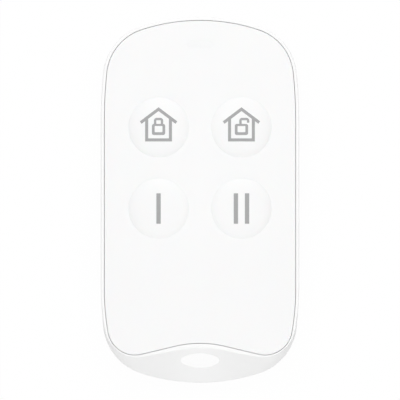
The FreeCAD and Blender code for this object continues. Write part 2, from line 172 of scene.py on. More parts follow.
@dataclass(frozen=True)
class CaseForm:
    """Plan and section of the fob and places inside it, in millimetres, as in the part's source."""

    width: float = 33.0
    length: float = 60.8
    end_radius: float = 31.7
    corner_radius: float = 9.0
    flank_radius: float = 78.6
    shoulder_length: float = 17.3
    rim_width: float = 0.63
    seam_gap: float = 0.078
    lip_length: float = 6.64
    wave_depth: float = 1.95
    wave_run: float = 5.8
    lobe_radius: float = 4.56
    lobe_bow: float = 0.55
    foot_flank_radius: float = 42.0
    crown_radius: float = 180.0
    side_draft: float = 0.1
    floor_z: float = 1.2
    parting_z: float = 4.6
    board_z: float = 5.35
    board_top_z: float = 6.35
    deck_z: float = 9.0
    deck_top_z: float = 9.9
    crown_z: float = 11.8
    parting_round: Round = Round(0.1, 3)
    seat_z: float = 1.4
    post_side: float = 2.4
    post_edge: float = 0.12
    post_x: float = 12.6
    post_y: Point2 = (21.6, -14.8)
    catch_y: Point2 = (13.0, -7.0)
    cell_y: float = -6.6
    chip_y: float = 5.3
    pad_pitch: float = 0.6
    lead_pitch: float = 3.4
    steps: tuple[int, ...] = (48, 14, 30, 22, 8, 22, 36, 60)

    @property
    def foot_y(self) -> float:
        """Place of the wave's crest."""
        return self.lip_length - self.length / 2

    @property
    def lobe(self) -> Point2:
        """Centre of the wave's right lobe."""
        x = self.width / 2 - self.rim_width - self.lobe_radius - self.lobe_bow
        return x, self.foot_y - self.wave_depth + self.lobe_radius

    @property
    def screws(self) -> Line:
        """Places of the screws and their bosses, in the middle of the lobes."""
        return [(side * self.lobe[0], self.lobe[1]) for side in (-1, 1)]

    @property
    def posts(self) -> Line:
        """Places of the posts and ribs that hold the board, the first and last with a pin."""
        return [(side * self.post_x, y) for y in self.post_y for side in (-1, 1)]

    @property
    def crest_radius(self) -> float:
        """Radius of the wave's crest, which a straight run joins to the lobe."""
        span = self.lobe[0] ** 2 + self.wave_depth ** 2 - self.wave_run ** 2
        return span / (2 * self.wave_depth) - self.lobe_radius

    @property
    def wave_turn(self) -> float:
        """Slope in radians of the straight run between the wave's crest and its lobe."""
        span = self.crest_radius + self.lobe_radius
        return atan2(self.lobe[0], span - self.wave_depth) - atan2(self.wave_run, span)

    def crown(self, x: float, y: float = 0.0) -> float:
        """Returns the height of the crowned front, the same all the way along."""
        return self.crown_z - self.crown_radius + sqrt(self.crown_radius ** 2 - x ** 2)

    def on_crown(self, spot: Point2) -> Vector:
        """Returns the point of the crowned front over a place."""
        return Vector((*spot, self.crown(*spot)))

    def shoulder(self, offset: float) -> tuple[Arc, Arc, Arc]:
        """Works out the indicator end of the outline.

        Args:
            offset: How far the outline is grown.

        Returns:
            Right flank, the right corner and the whole end arc.
        """
        end = Vector((0, self.length / 2 - self.end_radius))
        flank = Vector((self.width / 2 - self.flank_radius, self.length / 2 - self.shoulder_length))
        small, way = self.corner_radius, flank - end
        near, far = self.end_radius - small, self.flank_radius - small
        along = (near ** 2 - far ** 2 + way.length_squared) / (2 * way.length)
        way.normalize()
        corner = end + way * along + Vector((way.y, -way.x)) * sqrt(near ** 2 - along ** 2)
        flank_turn = atan2(*reversed(corner - flank))
        corner_turn = atan2(*reversed(corner - end))
        return (
            Arc(tuple(flank), self.flank_radius + offset, 0, flank_turn),
            Arc(tuple(corner), small + offset, flank_turn, corner_turn),
            Arc(tuple(end), self.end_radius + offset, corner_turn, pi - corner_turn),
        )

    def case_loop(self, offset: float) -> Line:
        """Traces the case.

        Args:
            offset: How far the outline is grown.

        Returns:
            Points that pair off with those of the seam.
        """
        flank, corner, end = self.shoulder(offset)
        turn = asin(self.crest_radius * sin(self.wave_turn) / self.end_radius) - QUARTER
        centre, radius = (0, self.end_radius - self.length / 2), self.end_radius + offset
        foot = Arc(centre, radius, -pi - turn, turn)
        run = Arc(centre, radius, turn, -corner.end)
        side = Run(flank.flipped().at(1), flank.at(0))
        right = [run, corner.flipped(), flank.flipped(), side, flank, corner]
        return closed_loop(foot, right, end, self.steps)

    def seam_loop(self, offset: float, lift: float = 0.0) -> Line:
        """Traces the seam of the front skin, with its wavy foot.

        Args:
            offset: How far the outline is grown.
            lift: How far the wavy foot is moved up.

        Returns:
            Points that pair off with those of the case.
        """
        flank, corner, end = self.shoulder(offset - self.rim_width)
        turn, big = self.wave_turn, self.crest_radius
        x, y = self.lobe[0], self.lobe[1] + lift
        reach = self.foot_flank_radius - self.lobe_radius
        lean = acos(1 - self.lobe_bow / reach)
        crest = Arc((0, self.foot_y + lift - big), big - offset, QUARTER + turn, QUARTER - turn)
        lobe = Arc((x, y), self.lobe_radius + offset, -QUARTER - turn, -lean)
        low_centre = (x - reach * cos(lean), y + reach * sin(lean))
        low_flank = Arc(low_centre, self.foot_flank_radius + offset, -lean, 0)
        run, side = Run(crest.at(1), lobe.at(0)), Run(low_flank.at(1), flank.at(0))
        return closed_loop(crest, [run, lobe, low_flank, side, flank, corner], end, self.steps)


def circle_loop(x: float, y: float, radius: float, steps: int = 48) -> Loop:
    """Returns the outline of a circle as a function of its growth."""
    return lambda offset: Arc((x, y), radius + offset, 0, 2 * pi).points(steps, False)


def rounded_loop(x: float, y: float, length: float, width: float, corner: float, steps: int = 4) -> Loop:
    """Draws a rectangle with round corners.

    Args:
        x: Centre across.
        y: Centre along.
        length: Size across.
        width: Size along.
        corner: Radius of the corners before growth.
        steps: Steps round each corner.

    Returns:
        A function from the growth to the points.
    """
    def loop(offset: float) -> Line:
        """Draws the grown rectangle.

        Args:
            offset: How far it is grown.

        Returns:
            Its points.
        """
        radius, made = max(corner + offset, SHARP), []
        across, along = length / 2 + offset - radius, width / 2 + offset - radius
        for k, (sx, sy) in enumerate(((1, 1), (-1, 1), (-1, -1), (1, -1))):
            centre = (x + sx * across, y + sy * along)
            made += Arc(centre, radius, k * QUARTER, (k + 1) * QUARTER).points(steps)
        return made
    return loop


def divided(edge: Line, step: float) -> Line:
    """Adds points along a closed outline, so that it can follow a surface.

    Args:
        edge: The outline.
        step: Longest step that is left.

    Returns:
        Outline with short steps.
    """
    sides = [Run(*side) for side in zip(edge, [*edge[1:], edge[0]])]
    counts = [max(1, ceil(dist(side.start, side.end) / step)) for side in sides]
    return [spot for side, count in zip(sides, counts) for spot in side.points(count, False)]


def quartered(part: Line) -> Line:
    """Returns a quarter of an outline, followed by its other three quarters."""
    turns = ((1, 0), (0, 1), (-1, 0), (0, -1))
    return [(a * x - b * y, a * y + b * x) for x, y in turns for a, b in part]


def foot_round(start: float, edge: Round, side: int = 1, spare: float = 0.1) -> Line:
    """Draws a round between the flat back and an upright wall.

    Args:
        start: Growth at which the wall stands.
        edge: The round.
        side: Side of the back: outwards (1) or inwards (-1).
        spare: How far the back is led on.

    Returns:
        Growth and height of each point.
    """
    size, turns = edge.size, [k / edge.steps * QUARTER for k in range(edge.steps + 1)]
    rounded = [(start + side * size * (1 - sin(turn)), size * (1 - cos(turn))) for turn in turns]
    return [(start + side * (size + spare), 0.0), *rounded]


@dataclass(frozen=True)
class Track:
    """Upright path that sheet metal is bent along: corners joined with round bends."""

    corners: tuple[Point2, ...]
    bend: float
    steps: int = 5

    @staticmethod
    def folded(right: Line, bend: float, steps: int = 5) -> "Track":
        """Returns the track that is a given run on the right and the same on the left."""
        return Track((*((-x, z) for x, z in reversed(right)), *right), bend, steps)

    def table(self) -> np.ndarray:
        """Samples the path.

        Returns:
            Rows of the distance along it, the place across, the height and the direction of travel.
        """
        spots = [Vector(corner) for corner in self.corners]
        rows = [(*spots[0], atan2(*reversed(spots[1] - spots[0])))]
        for before, corner, after in zip(spots, spots[1:], spots[2:]):
            first, second = (before - corner).normalized(), (after - corner).normalized()
            reach = self.bend / tan(first.angle(second) / 2)
            start, end = atan2(*reversed(-first)), atan2(*reversed(second))
            swing = (end - start + pi) % (2 * pi) - pi
            bent = roll(corner, first, second, Round(reach, self.steps))
            rows += [(*spot, start + swing * k / self.steps) for k, spot in enumerate(bent)]
        rows.append((*spots[-1], atan2(*reversed(spots[-1] - spots[-2]))))
        line = np.array(rows)
        line[:, 2] = np.unwrap(line[:, 2])
        steps = np.hypot(*np.diff(line[:, :2], axis=0).T)
        return np.column_stack([np.concatenate([[0.0], np.cumsum(steps)]), line])


# ---- meshes


def lifted(points: Iterable[Point2], z: float) -> list[Vector]:
    """Returns plan points at one height."""
    return [Vector((x, y, z)) for x, y in points]


def rows_of(columns: Columns, *rows: int) -> Columns:
    """Returns rows of a set of columns, by number."""
    return [[column[row] for column in columns] for row in rows]


def roll(corner: Vector, first: Vector, second: Vector, edge: Round) -> list[Vector]:
    """Rounds the corner between two edges.

    Args:
        corner: Sharp corner.
        first: Direction of the first edge, one long.
        second: Direction of the second edge, one long.
        edge: Round, which starts its size away from the corner.

    Returns:
        Points from the first edge to the second.
    """
    half = first.angle(second) / 2
    turn, shares = pi - 2 * half, [k / edge.steps for k in range(edge.steps + 1)]
    centre = corner + (first + second).normalized() * (edge.size / cos(half))
    start, end = (corner + way * edge.size - centre for way in (first, second))
    return [
        centre + (start * sin((1 - share) * turn) + end * sin(share * turn)) / sin(turn)
        for share in shares
    ]


def flush_rim(form: CaseForm, loop: Loop, growth: float, edge: Round, reach: float, foot_z: float) -> Columns:
    """Works out the wall and the rolled edge of a surface that follows the crowned front.

    Args:
        form: Case's form.
        loop: Outline of the edge.
        growth: A growth that lies on the surface's side.
        edge: Its round.
        reach: How far the surface is led on.
        foot_z: Height of the wall's foot.

    Returns:
        A column of points for each place round the edge, from the foot up.
    """
    made = []
    for spot, beyond in zip(loop(0), loop(growth)):
        corner = form.on_crown(spot)
        way = (form.on_crown(beyond) - corner).normalized()
        last = form.on_crown((corner + way * reach).to_2d())
        made.append([Vector((*spot, foot_z)), *roll(corner, DOWN, way, edge), last])
    return made


def inside(spots: np.ndarray, loops: Sequence[np.ndarray]) -> np.ndarray:
    """Tells which points lie inside an odd number of loops.

    Args:
        spots: Points, one a row.
        loops: Closed outlines, one point a row.

    Returns:
        One truth value a point.
    """
    odd = np.zeros(len(spots), bool)
    for loop in loops:
        for (x1, y1), (x2, y2) in zip(loop, np.roll(loop, -1, axis=0)):
            if y1 != y2:
                crosses = (y1 > spots[:, 1]) != (y2 > spots[:, 1])
                odd ^= crosses & (spots[:, 0] < (x2 - x1) * (spots[:, 1] - y1) / (y2 - y1) + x1)
    return odd


def regions(faces: Sequence[Sequence[int]], walls: set[frozenset[int]]) -> list[list[Sequence[int]]]:
    """Groups the faces of a plan that no wall parts.

    Args:
        faces: Faces, as point numbers.
        walls: Edges that are walls, as pairs of points.

    Returns:
        The groups.
    """
    sides = [{frozenset(side) for side in zip(face, (*face[1:], face[0]))} - walls for face in faces]
    beside = {}
    for number, own in enumerate(sides):
        for side in own:
            beside.setdefault(side, set()).add(number)
    groups, left = [], set(range(len(faces)))
    while left:
        group, fresh = set(), {left.pop()}
        while fresh:
            group |= fresh
            fresh = {k for number in fresh for side in sides[number] for k in beside[side]} - group
        left -= group
        groups.append([faces[number] for number in sorted(group)])
    return groups


class Shell:
    """A mesh being put together from rows, plates and towers, in millimetres."""

    least_area = 1e-5
    plan_reach = 1e-7
    clear_share = 0.6
    merge_reach = 0.0004
    thin_reach = 0.0002
    sharp_angle = radians(32)

    def __init__(self) -> None:
        """Starts with nothing."""
        self.points: list[Vector] = []
        self.faces: list[tuple[int, ...]] = []

    def add(self, points: Iterable[Vector]) -> list[int]:
        """Adds points and returns their numbers."""
        self.points += (made := list(points))
        return list(range(len(self.points) - len(made), len(self.points)))

    def face(self, points: Iterable[Vector]) -> None:
        """Adds one face."""
        self.faces.append(tuple(self.add(points)))

    def sheet(
        self, columns: Iterable[Sequence[Vector]], closed: bool = True,
        skip: Callable[[int, int], bool] = lambda i, k: False,
    ) -> None:
        """Adds quads between neighbouring columns of points.

        Args:
            columns: Columns of equal length.
            closed: Whether the last column meets the first.
            skip: Says which quads are left open, by column and row.
        """
        index = [self.add(column) for column in columns]
        for i, (column, beside) in enumerate(zip(index, index[1:] + index[:closed])):
            quads = zip(column, beside, beside[1:], column[1:])
            self.faces += [quad for k, quad in enumerate(quads) if not skip(i, k)]

    def plate(self, loops: Columns, height: Optional[Height] = None, spacing: float = 0.0) -> None:
        """Fills the region between an outer loop and the loops inside it.

        Args:
            loops: Closed outlines, the outer one first.
            height: Height of the surface over the plan.
            spacing: Distance between the points added, or nothing for none.
        """
        flat = [np.array([(point.x, point.y) for point in loop]) for loop in loops]
        spots, edges = [], []
        for loop in loops:
            edges += [(len(spots) + k, len(spots) + (k + 1) % len(loop)) for k in range(len(loop))]
            spots += loop
        if spacing:
            spots += [Vector((x, y, height(x, y))) for x, y in self.between(flat, spacing)]
        plan, reach = [point.to_2d() for point in spots], self.plan_reach
        found, sides, triangles, origins, lines, _ = delaunay_2d_cdt(plan, edges, [], 0, reach, True)
        walls = {frozenset(side) for side, line in zip(sides, lines) if line}
        index = self.add(spots[origin[0]] for origin in origins)
        for region in regions(triangles, walls):
            corners = max(([found[k] for k in face] for face in region), key=lambda spot: area_tri(*spot))
            middle = sum(corners, Vector((0, 0))) / 3
            if area_tri(*corners) > self.least_area and inside(np.array([middle]), flat)[0]:
                self.faces += [tuple(index[k] for k in face) for face in region]

    def between(self, loops: Sequence[np.ndarray], spacing: float) -> np.ndarray:
        """Spreads points evenly over a region.

        Args:
            loops: Closed outlines, the outer one first.
            spacing: Distance between the points.

        Returns:
            Points, one a row.
        """
        low, high = loops[0].min(axis=0), loops[0].max(axis=0)
        rise = spacing * sqrt(3) / 2
        rows, columns = int((high[1] - low[1]) / rise) + 1, int((high[0] - low[0]) / spacing) + 2
        grid = np.array([
            (low[0] + (column - row % 2 / 2) * spacing, low[1] + row * rise)
            for row in range(rows) for column in range(columns)
        ])
        grid = grid[inside(grid, loops)]
        edge = np.array([spot for loop in loops for spot in divided(loop, spacing / 2)])
        gap = np.sqrt(((grid[:, None, :] - edge[None, :, :]) ** 2).sum(axis=2)).min(axis=1)
        return grid[gap > self.clear_share * spacing]

    def layer(self, loops: Edges, height: Height, rises: Point2, spacing: float) -> None:
        """Adds a thin layer that follows a surface.

        Args:
            loops: Closed outlines, the outer one first.
            height: Height of the surface over the plan.
            rises: How far its faces stand over the surface.
            spacing: Distance between the points added.
        """
        sides = [[[Vector((x, y, height(x, y) + rise)) for x, y in loop] for loop in loops] for rise in rises]
        for side, rise in zip(sides, rises):
            self.plate(side, lambda x, y, rise=rise: height(x, y) + rise, spacing)
        for pair in zip(*sides):
            self.sheet(zip(*pair))

    def tower(self, loop: Loop, profile: Line, capped: bool = True) -> None:
        """Adds an upright solid, or an open wall.

        Args:
            loop: Outline as a function of its growth.
            profile: Growth and height of each row.
            capped: Whether flat ends close it.
        """
        rows = [lifted(loop(offset), z) for offset, z in profile]
        self.sheet(zip(*rows))
        for row in (rows[0], rows[-1]) if capped else ():
            self.face(row)

    def block(
        self, x: float, y: float, foot: float, length: float, width: float, top: float, edge: float
    ) -> None:
        """Adds a box with broken edges, from its centre in plan, its sizes and the heights of its ends."""
        profile = [(-edge, foot), (0, foot + edge), (0, top - edge), (-edge, top)]
        self.tower(rounded_loop(x, y, length, width, edge, 1), profile)

    def bent(
        self, track: Track, thickness: float, widths: Sequence[float], cuts: Sequence[float] = (),
        kept: Height = lambda along, y: True,
    ) -> "Shell":
        """Adds sheet metal, cut out flat and bent along a track.

        Args:
            track: Path of the sheet's middle.
            thickness: Thickness of the sheet.
            widths: Places across the strip of its edges and cuts.
            cuts: Distances along it where a cut starts or ends.
            kept: Says where metal is left, by distance along and place across.

        Returns:
            The shell.
        """
        table = track.table()
        stations = sorted({*table[:, 0], *cuts})
        _, *rows = [np.interp(stations, table[:, 0], column) for column in table.T]
        faces = [
            {
                (i, j): Vector((x - sin(a) * side, y, z + cos(a) * side))
                for i, (x, z, a) in enumerate(zip(*rows)) for j, y in enumerate(widths)
            } for side in (thickness / 2, -thickness / 2)
        ]
        metal = {
            (i, j) for i in range(len(stations) - 1) for j in range(len(widths) - 1)
            if kept((stations[i] + stations[i + 1]) / 2, (widths[j] + widths[j + 1]) / 2)
        }
        for i, j in metal:
            ring = [(i, j), (i + 1, j), (i + 1, j + 1), (i, j + 1)]
            for face in faces:
                self.face(face[spot] for spot in ring)
            beyond = [(i, j - 1), (i + 1, j), (i, j + 1), (i - 1, j)]
            for a, b, other in zip(ring, (*ring[1:], ring[0]), beyond):
                if other not in metal:
                    self.face((faces[0][a], faces[0][b], faces[1][b], faces[1][a]))
        return self

    def take(self, mesh: Mesh) -> None:
        """Takes over the faces of a finished mesh and removes it.

        Args:
            mesh: The mesh.
        """
        index = self.add(vertex.co / MM for vertex in mesh.vertices)
        self.faces += [tuple(index[k] for k in face.vertices) for face in mesh.polygons]
        bpy.data.meshes.remove(mesh)

    def mesh(self, name: str) -> Mesh:
        """Makes the mesh, in metres, with doubles merged and faces pointing out.

        Args:
            name: Name of the mesh.

        Returns:
            The mesh.
        """
        mesh = bpy.data.meshes.new(name)
        mesh.from_pydata([point * MM for point in self.points], [], self.faces)
        work = bmesh.new()
        work.from_mesh(mesh)
        bmesh.ops.remove_doubles(work, verts=work.verts, dist=self.merge_reach * MM)
        bmesh.ops.dissolve_degenerate(work, edges=work.edges, dist=self.thin_reach * MM)
        loose = [vertex for vertex in work.verts if not vertex.link_faces]
        bmesh.ops.delete(work, geom=loose, context="VERTS")
        bmesh.ops.recalc_face_normals(work, faces=work.faces)
        work.to_mesh(mesh)
        work.free()
        mesh.polygons.foreach_set("use_smooth", [True] * len(mesh.polygons))
        mesh.set_sharp_from_angle(angle=self.sharp_angle)
        return mesh


def linked(name: str, data: bpy.types.ID) -> bpy.types.Object:
    """Makes an object and adds it to the scene.

    Args:
        name: Its name.
        data: Its mesh, light or camera.

    Returns:
        The object.
    """
    made = bpy.data.objects.new(name, data)
    bpy.context.scene.collection.objects.link(made)
    return made


# ---- node trees


class Graph:
    """A node tree being wired in code."""

    noise_ends = {"From Min": 0.3, "From Max": 0.7}

    def __init__(self, tree: bpy.types.NodeTree) -> None:
        """Starts with an empty tree."""
        self.tree = tree
        tree.nodes.clear()

    def node(self, kind: str, feeds: Optional[Feeds] = None, **settings: object) -> Node:
        """Adds a node.

        Args:
            kind: Identifier of the node's type.
            feeds: What its inputs get, by name or number; a node stands for its first output.
            settings: Properties of the node.

        Returns:
            The node.
        """
        made = self.tree.nodes.new(kind)
        for name, value in settings.items():
            setattr(made, name, value)
        for name, value in (feeds or {}).items():
            if isinstance(value, Node):
                value = value.outputs[0]
            if isinstance(value, Socket):
                self.tree.links.new(value, made.inputs[name])
            else:
                made.inputs[name].default_value = value
        return made

    def math(self, operation: str, *values: Feed, clamped: bool = False) -> Wire:
        """Adds a sum, which is kept between nought and one if it is clamped."""
        feeds = dict(enumerate(values))
        return self.node("ShaderNodeMath", feeds, operation=operation, use_clamp=clamped)

    def noise(self, place: Wire, size: float, detail: float) -> Wire:
        """Adds a noise with blotches of a size and with finer layers."""
        feeds = {"Vector": place, "Scale": 1 / (size * MM), "Detail": detail}
        return self.node("ShaderNodeTexNoise", feeds)

    def ranged(self, value: Wire, low: float, high: float) -> Wire:
        """Maps the middle of a noise to a range."""
        feeds = {**self.noise_ends, "Value": value, "To Min": low, "To Max": high}
        return self.node("ShaderNodeMapRange", feeds)


@dataclass(frozen=True)
class Surface:
    """Plastic or rubber: a sparked grain, faint flow clouds and a roughness that wanders."""

    colour: Colour
    roughness: float = 0.42
    grain: float = 0.09
    depth: float = 0.002
    cloud: float = 7.0
    mottle: float = 0.012
    glow: float = 0.0
    clear: float = 0.0
    metallic: float = 0.0
    brushed: Point3 = (1.0, 1.0, 1.0)
    detail: float = 2.0
    wander: Point2 = (-0.04, 0.04)
    wander_share: float = 0.2
    ior: float = 1.49
    glow_reach: float = 0.6

    def material(self, name: str) -> Material:
        """Makes the material.

        Args:
            name: Its name.

        Returns:
            Material, whose patterns follow Object coordinates.
        """
        made = bpy.data.materials.new(name)
        made.use_nodes = True
        graph = Graph(made.node_tree)
        place = graph.node("ShaderNodeTexCoord").outputs["Object"]
        drawn = graph.node("ShaderNodeMapping", {"Vector": place, "Scale": self.brushed})
        grain = graph.noise(drawn, self.grain, 3.0)
        rough = grain if self.metallic else graph.noise(place, self.cloud * self.wander_share, 2.0)
        relief = graph.node("ShaderNodeBump", {"Distance": self.depth * MM, "Height": grain})
        cloud = graph.ranged(graph.noise(place, self.cloud, self.detail), 0.0, 1.0)
        dark = (*(part * (1 - self.mottle) for part in self.colour), 1.0)
        feeds = {0: cloud, 6: (*self.colour, 1.0), 7: dark}
        shader = graph.node("ShaderNodeBsdfPrincipled", {
            "Base Color": graph.node("ShaderNodeMix", feeds, data_type="RGBA").outputs[2],
            "Roughness": graph.ranged(rough, *(self.roughness + part for part in self.wander)),
            "Metallic": self.metallic, "IOR": self.ior, "Transmission Weight": self.clear,
            "Subsurface Weight": self.glow, "Subsurface Scale": self.glow_reach * MM,
            "Normal": relief,
        })
        graph.node("ShaderNodeOutputMaterial", {"Surface": shader})
        return made


@dataclass(frozen=True)
class Metal(Surface):
    """Rolled or pressed metal: fine brushing along one axis and a faint stain."""

    roughness: float = 0.3
    grain: float = 0.08
    depth: float = 0.001
    cloud: float = 2.5
    mottle: float = 0.15
    metallic: float = 1.0
    brushed: Point3 = (1.0, 0.12, 1.0)
    detail: float = 3.0
    wander: Point2 = (-0.06, 0.08)
    ior: float = 1.5


class Finish(Enum):
    """The fob's finishes, by the record's material slot, and those of the prints and small parts."""

    CASE_PLASTIC = Surface((0.945, 0.946, 0.944), 0.38, 0.10, 0.0025)
    SOFT_SKIN = Surface((0.925, 0.925, 0.925), 0.52, 0.06, 0.0015, 9.0, 0.008, 0.04)
    SYMBOL_INK = Surface((0.385, 0.385, 0.388), 0.5, 0.05, 0.001, 1.0, 0.05)
    LENS_PLASTIC = Surface((0.915, 0.915, 0.915), 0.45, 0.12, 0.001, 2.0, 0.01, 0.02)
    BOARD_LAMINATE = Surface((0.03, 0.16, 0.07), 0.35, 0.12, 0.002, 3.0, 0.25)
    CHIP_RESIN = Surface((0.018, 0.018, 0.02), 0.45, 0.05, 0.002, 1.5, 0.2)
    LED_RESIN = Surface((0.85, 0.84, 0.78), 0.25, 0.2, 0.001, 1.0, 0.03, 0.1, 0.2)
    CHIP_CERAMIC = Surface((0.12, 0.10, 0.08), 0.5, 0.05, 0.002, 0.6, 0.25)
    SWITCH_PLASTIC = Surface((0.03, 0.03, 0.032), 0.5, 0.07, 0.002)
    STEM_PLASTIC = Surface((0.55, 0.03, 0.02), 0.45, 0.08, 0.002, 2.0, 0.05)
    SPRING_STEEL = Metal((0.62, 0.61, 0.58), 0.28)
    NICKEL_CAN = Metal((0.70, 0.68, 0.63), 0.3)
    CELL_STEEL = Metal((0.66, 0.66, 0.66), 0.25, brushed=(0.12, 1.0, 1.0))
    SCREW_STEEL = Metal((0.58, 0.58, 0.59), 0.3, brushed=(1.0, 1.0, 0.2))
    SOLDER_LEAD = Metal((0.72, 0.72, 0.73), 0.35, brushed=(1.0, 1.0, 1.0))


@cache
def material_of(finish: Finish) -> Material:
    """Returns a finish's material, made on first use."""
    return finish.value.material(finish.name.lower())


# ---- shapes that follow a rule (Geometry Nodes)


class RuleTree(Graph):
    """Geometry Nodes tree with named inputs that makes one mesh; a subclass wires its rule."""

    name = "rule"
    kinds: dict[str, str] = {}
    seam_reach = 0.0005

    def __init__(self) -> None:
        """Builds the tree."""
        super().__init__(bpy.data.node_groups.new(self.name, "GeometryNodeTree"))
        face = self.tree.interface
        self.inputs = {
            name: face.new_socket(name=name, in_out="INPUT", socket_type=f"NodeSocket{kind}").identifier
            for name, kind in {**self.kinds, "Finish": "Material"}.items()
        }
        face.new_socket(name="Geometry", in_out="OUTPUT", socket_type="NodeSocketGeometry")
        self.given = self.node("NodeGroupInput").outputs
        real = self.node("GeometryNodeRealizeInstances", {0: self.wire()})
        feeds = {"Geometry": real, "Material": self.given["Finish"]}
        self.node("NodeGroupOutput", {0: self.node("GeometryNodeSetMaterial", feeds)})

    def wire(self) -> Wire:
        """Wires the rule and returns the finished geometry."""
        raise NotImplementedError

    def parts(self, vector: Wire) -> bpy.types.bpy_prop_collection:
        """Returns the parts of a vector."""
        return self.node("ShaderNodeSeparateXYZ", {0: vector}).outputs

    def shape(self, name: str) -> Wire:
        """Returns the geometry of the object that a named input holds."""
        return self.node("GeometryNodeObjectInfo", {"Object": self.given[name]}).outputs["Geometry"]

    def laid(self, segments: Wire, rows: Wire) -> tuple[Wire, Wire, Wire]:
        """Lays a grid that is going to be wrapped round an axis.

        Args:
            segments: Steps round the axis.
            rows: How many rows it gets.

        Returns:
            Grid, and how far round and in which row a point is.
        """
        feeds = {"Vertices X": self.math("ADD", segments, 1.0), "Vertices Y": rows}
        place = self.parts(self.node("GeometryNodeInputPosition"))
        up = self.math("MULTIPLY", self.math("ADD", place["Y"], 0.5), self.math("SUBTRACT", rows, 1.0))
        grid = self.node("GeometryNodeMeshGrid", feeds)
        return grid, self.math("ADD", place["X"], 0.5), self.math("ROUND", up)

    def spun(self, reach: Wire, around: Wire) -> list[Wire]:
        """Turns points about the axis through the Centre input.

        Args:
            reach: Their distance from the axis.
            around: Share of the way round.

        Returns:
            Their places across and along.
        """
        angle, centre = self.math("MULTIPLY", around, 2 * pi), self.parts(self.given["Centre"])
        turns = (self.math("COSINE", angle), self.math("SINE", angle))
        return [self.math("MULTIPLY_ADD", reach, turn, at) for turn, at in zip(turns, (centre[0], centre[1]))]

    def wrapped(self, grid: Wire, x: Wire, y: Wire, z: Wire) -> Wire:
        """Moves a grid's points to their places and closes the seam.

        Args:
            grid: The grid.
            x: Places across.
            y: Places along.
            z: Heights.

        Returns:
            Closed mesh.
        """
        place = self.node("ShaderNodeCombineXYZ", {"X": x, "Y": y, "Z": z})
        moved = self.node("GeometryNodeSetPosition", {"Geometry": grid, "Position": place})
        feeds = {"Geometry": moved, "Distance": self.seam_reach * MM}
        return self.node("GeometryNodeMergeByDistance", feeds)

    def run(self, shell: Shell, finish: Finish, **values: object) -> None:
        """Evaluates the tree and adds what it makes to a shell.

        Args:
            shell: Shell that gets it.
            finish: Finish of the faces.
            values: Named inputs: counts, meshes, and lengths in millimetres.
        """
        helpers = [linked("carrier", bpy.data.meshes.new("carrier"))]
        modifier = helpers[0].modifiers.new(self.name, "NODES")
        modifier.node_group = self.tree
        modifier[self.inputs["Finish"]] = material_of(finish)
        for name, value in values.items():
            if isinstance(value, Mesh):
                value = linked("helper", value)
                helpers.append(value)
            elif isinstance(value, tuple):
                value = tuple(part * MM for part in value)
            elif isinstance(value, float):
                value *= MM
            modifier[self.inputs[name.replace("_", " ")]] = value
        bpy.context.view_layer.update()
        shaped = helpers[0].evaluated_get(bpy.context.evaluated_depsgraph_get())
        shell.take(bpy.data.meshes.new_from_object(shaped))
        helpers[0].modifiers.remove(modifier)
        for helper in helpers:
            data = helper.data
            bpy.data.objects.remove(helper)
            bpy.data.meshes.remove(data)


class TurnedTree(RuleTree):
    """Turns a profile round an upright axis and seats it on the crown."""

    name = "turned_piece"
    kinds = {
        "Profile": "Object", "Profile Points": "Int", "Segments": "Int", "Centre": "Vector",
        "Crown Radius": "Float", "Reach": "Float", "Crest Shift": "Float",
    }
    no_crown = 1e6

    def wire(self) -> Wire:
        """Wires a grid whose rows take the profile's points in order.

        Returns:
            Turned mesh.
        """
        given = self.given
        grid, around, row = self.laid(given["Segments"], given["Profile Points"])
        place = self.node("GeometryNodeInputPosition")
        feeds = {"Geometry": self.shape("Profile"), "Value": place, "Index": row}
        sample = self.node("GeometryNodeSampleIndex", feeds, data_type="FLOAT_VECTOR", domain="POINT")
        drawn = self.parts(sample)
        x, y = self.spun(drawn["X"], around)
        inward = self.math("SUBTRACT", 1.0, self.math("DIVIDE", drawn["X"], given["Reach"]))
        y = self.math("MULTIPLY_ADD", inward, given["Crest Shift"], y)
        square, crown = self.math("MULTIPLY", x, x), given["Crown Radius"]
        depth = self.math("SQRT", self.math("SUBTRACT", self.math("MULTIPLY", crown, crown), square))
        drop = self.math("DIVIDE", square, self.math("ADD", crown, depth))
        return self.wrapped(grid, x, y, self.math("SUBTRACT", drawn["Z"], drop))

    def turn(
        self, shell: Shell, profile: Line, centre: Point2, finish: Finish,
        crown_radius: float = no_crown, crest_shift: float = 0.0, segments: int = 96,
    ) -> None:
        """Adds a turned profile to a shell.

        Args:
            shell: Shell that gets it.
            profile: Reach and height of each point.
            centre: Place of the axis.
            finish: Finish of the faces.
            crown_radius: Radius of the crown that it follows.
            crest_shift: How far its middle is led along the fob.
            segments: Steps round the axis.
        """
        line = bpy.data.meshes.new("profile")
        line.from_pydata([(reach * MM, 0, z * MM) for reach, z in profile], [], [])
        self.run(
            shell, finish, Profile=line, Profile_Points=len(profile), Segments=segments,
            Centre=(*centre, 0.0), Crown_Radius=crown_radius, Crest_Shift=crest_shift,
            Reach=max(reach for reach, _ in profile),
        )


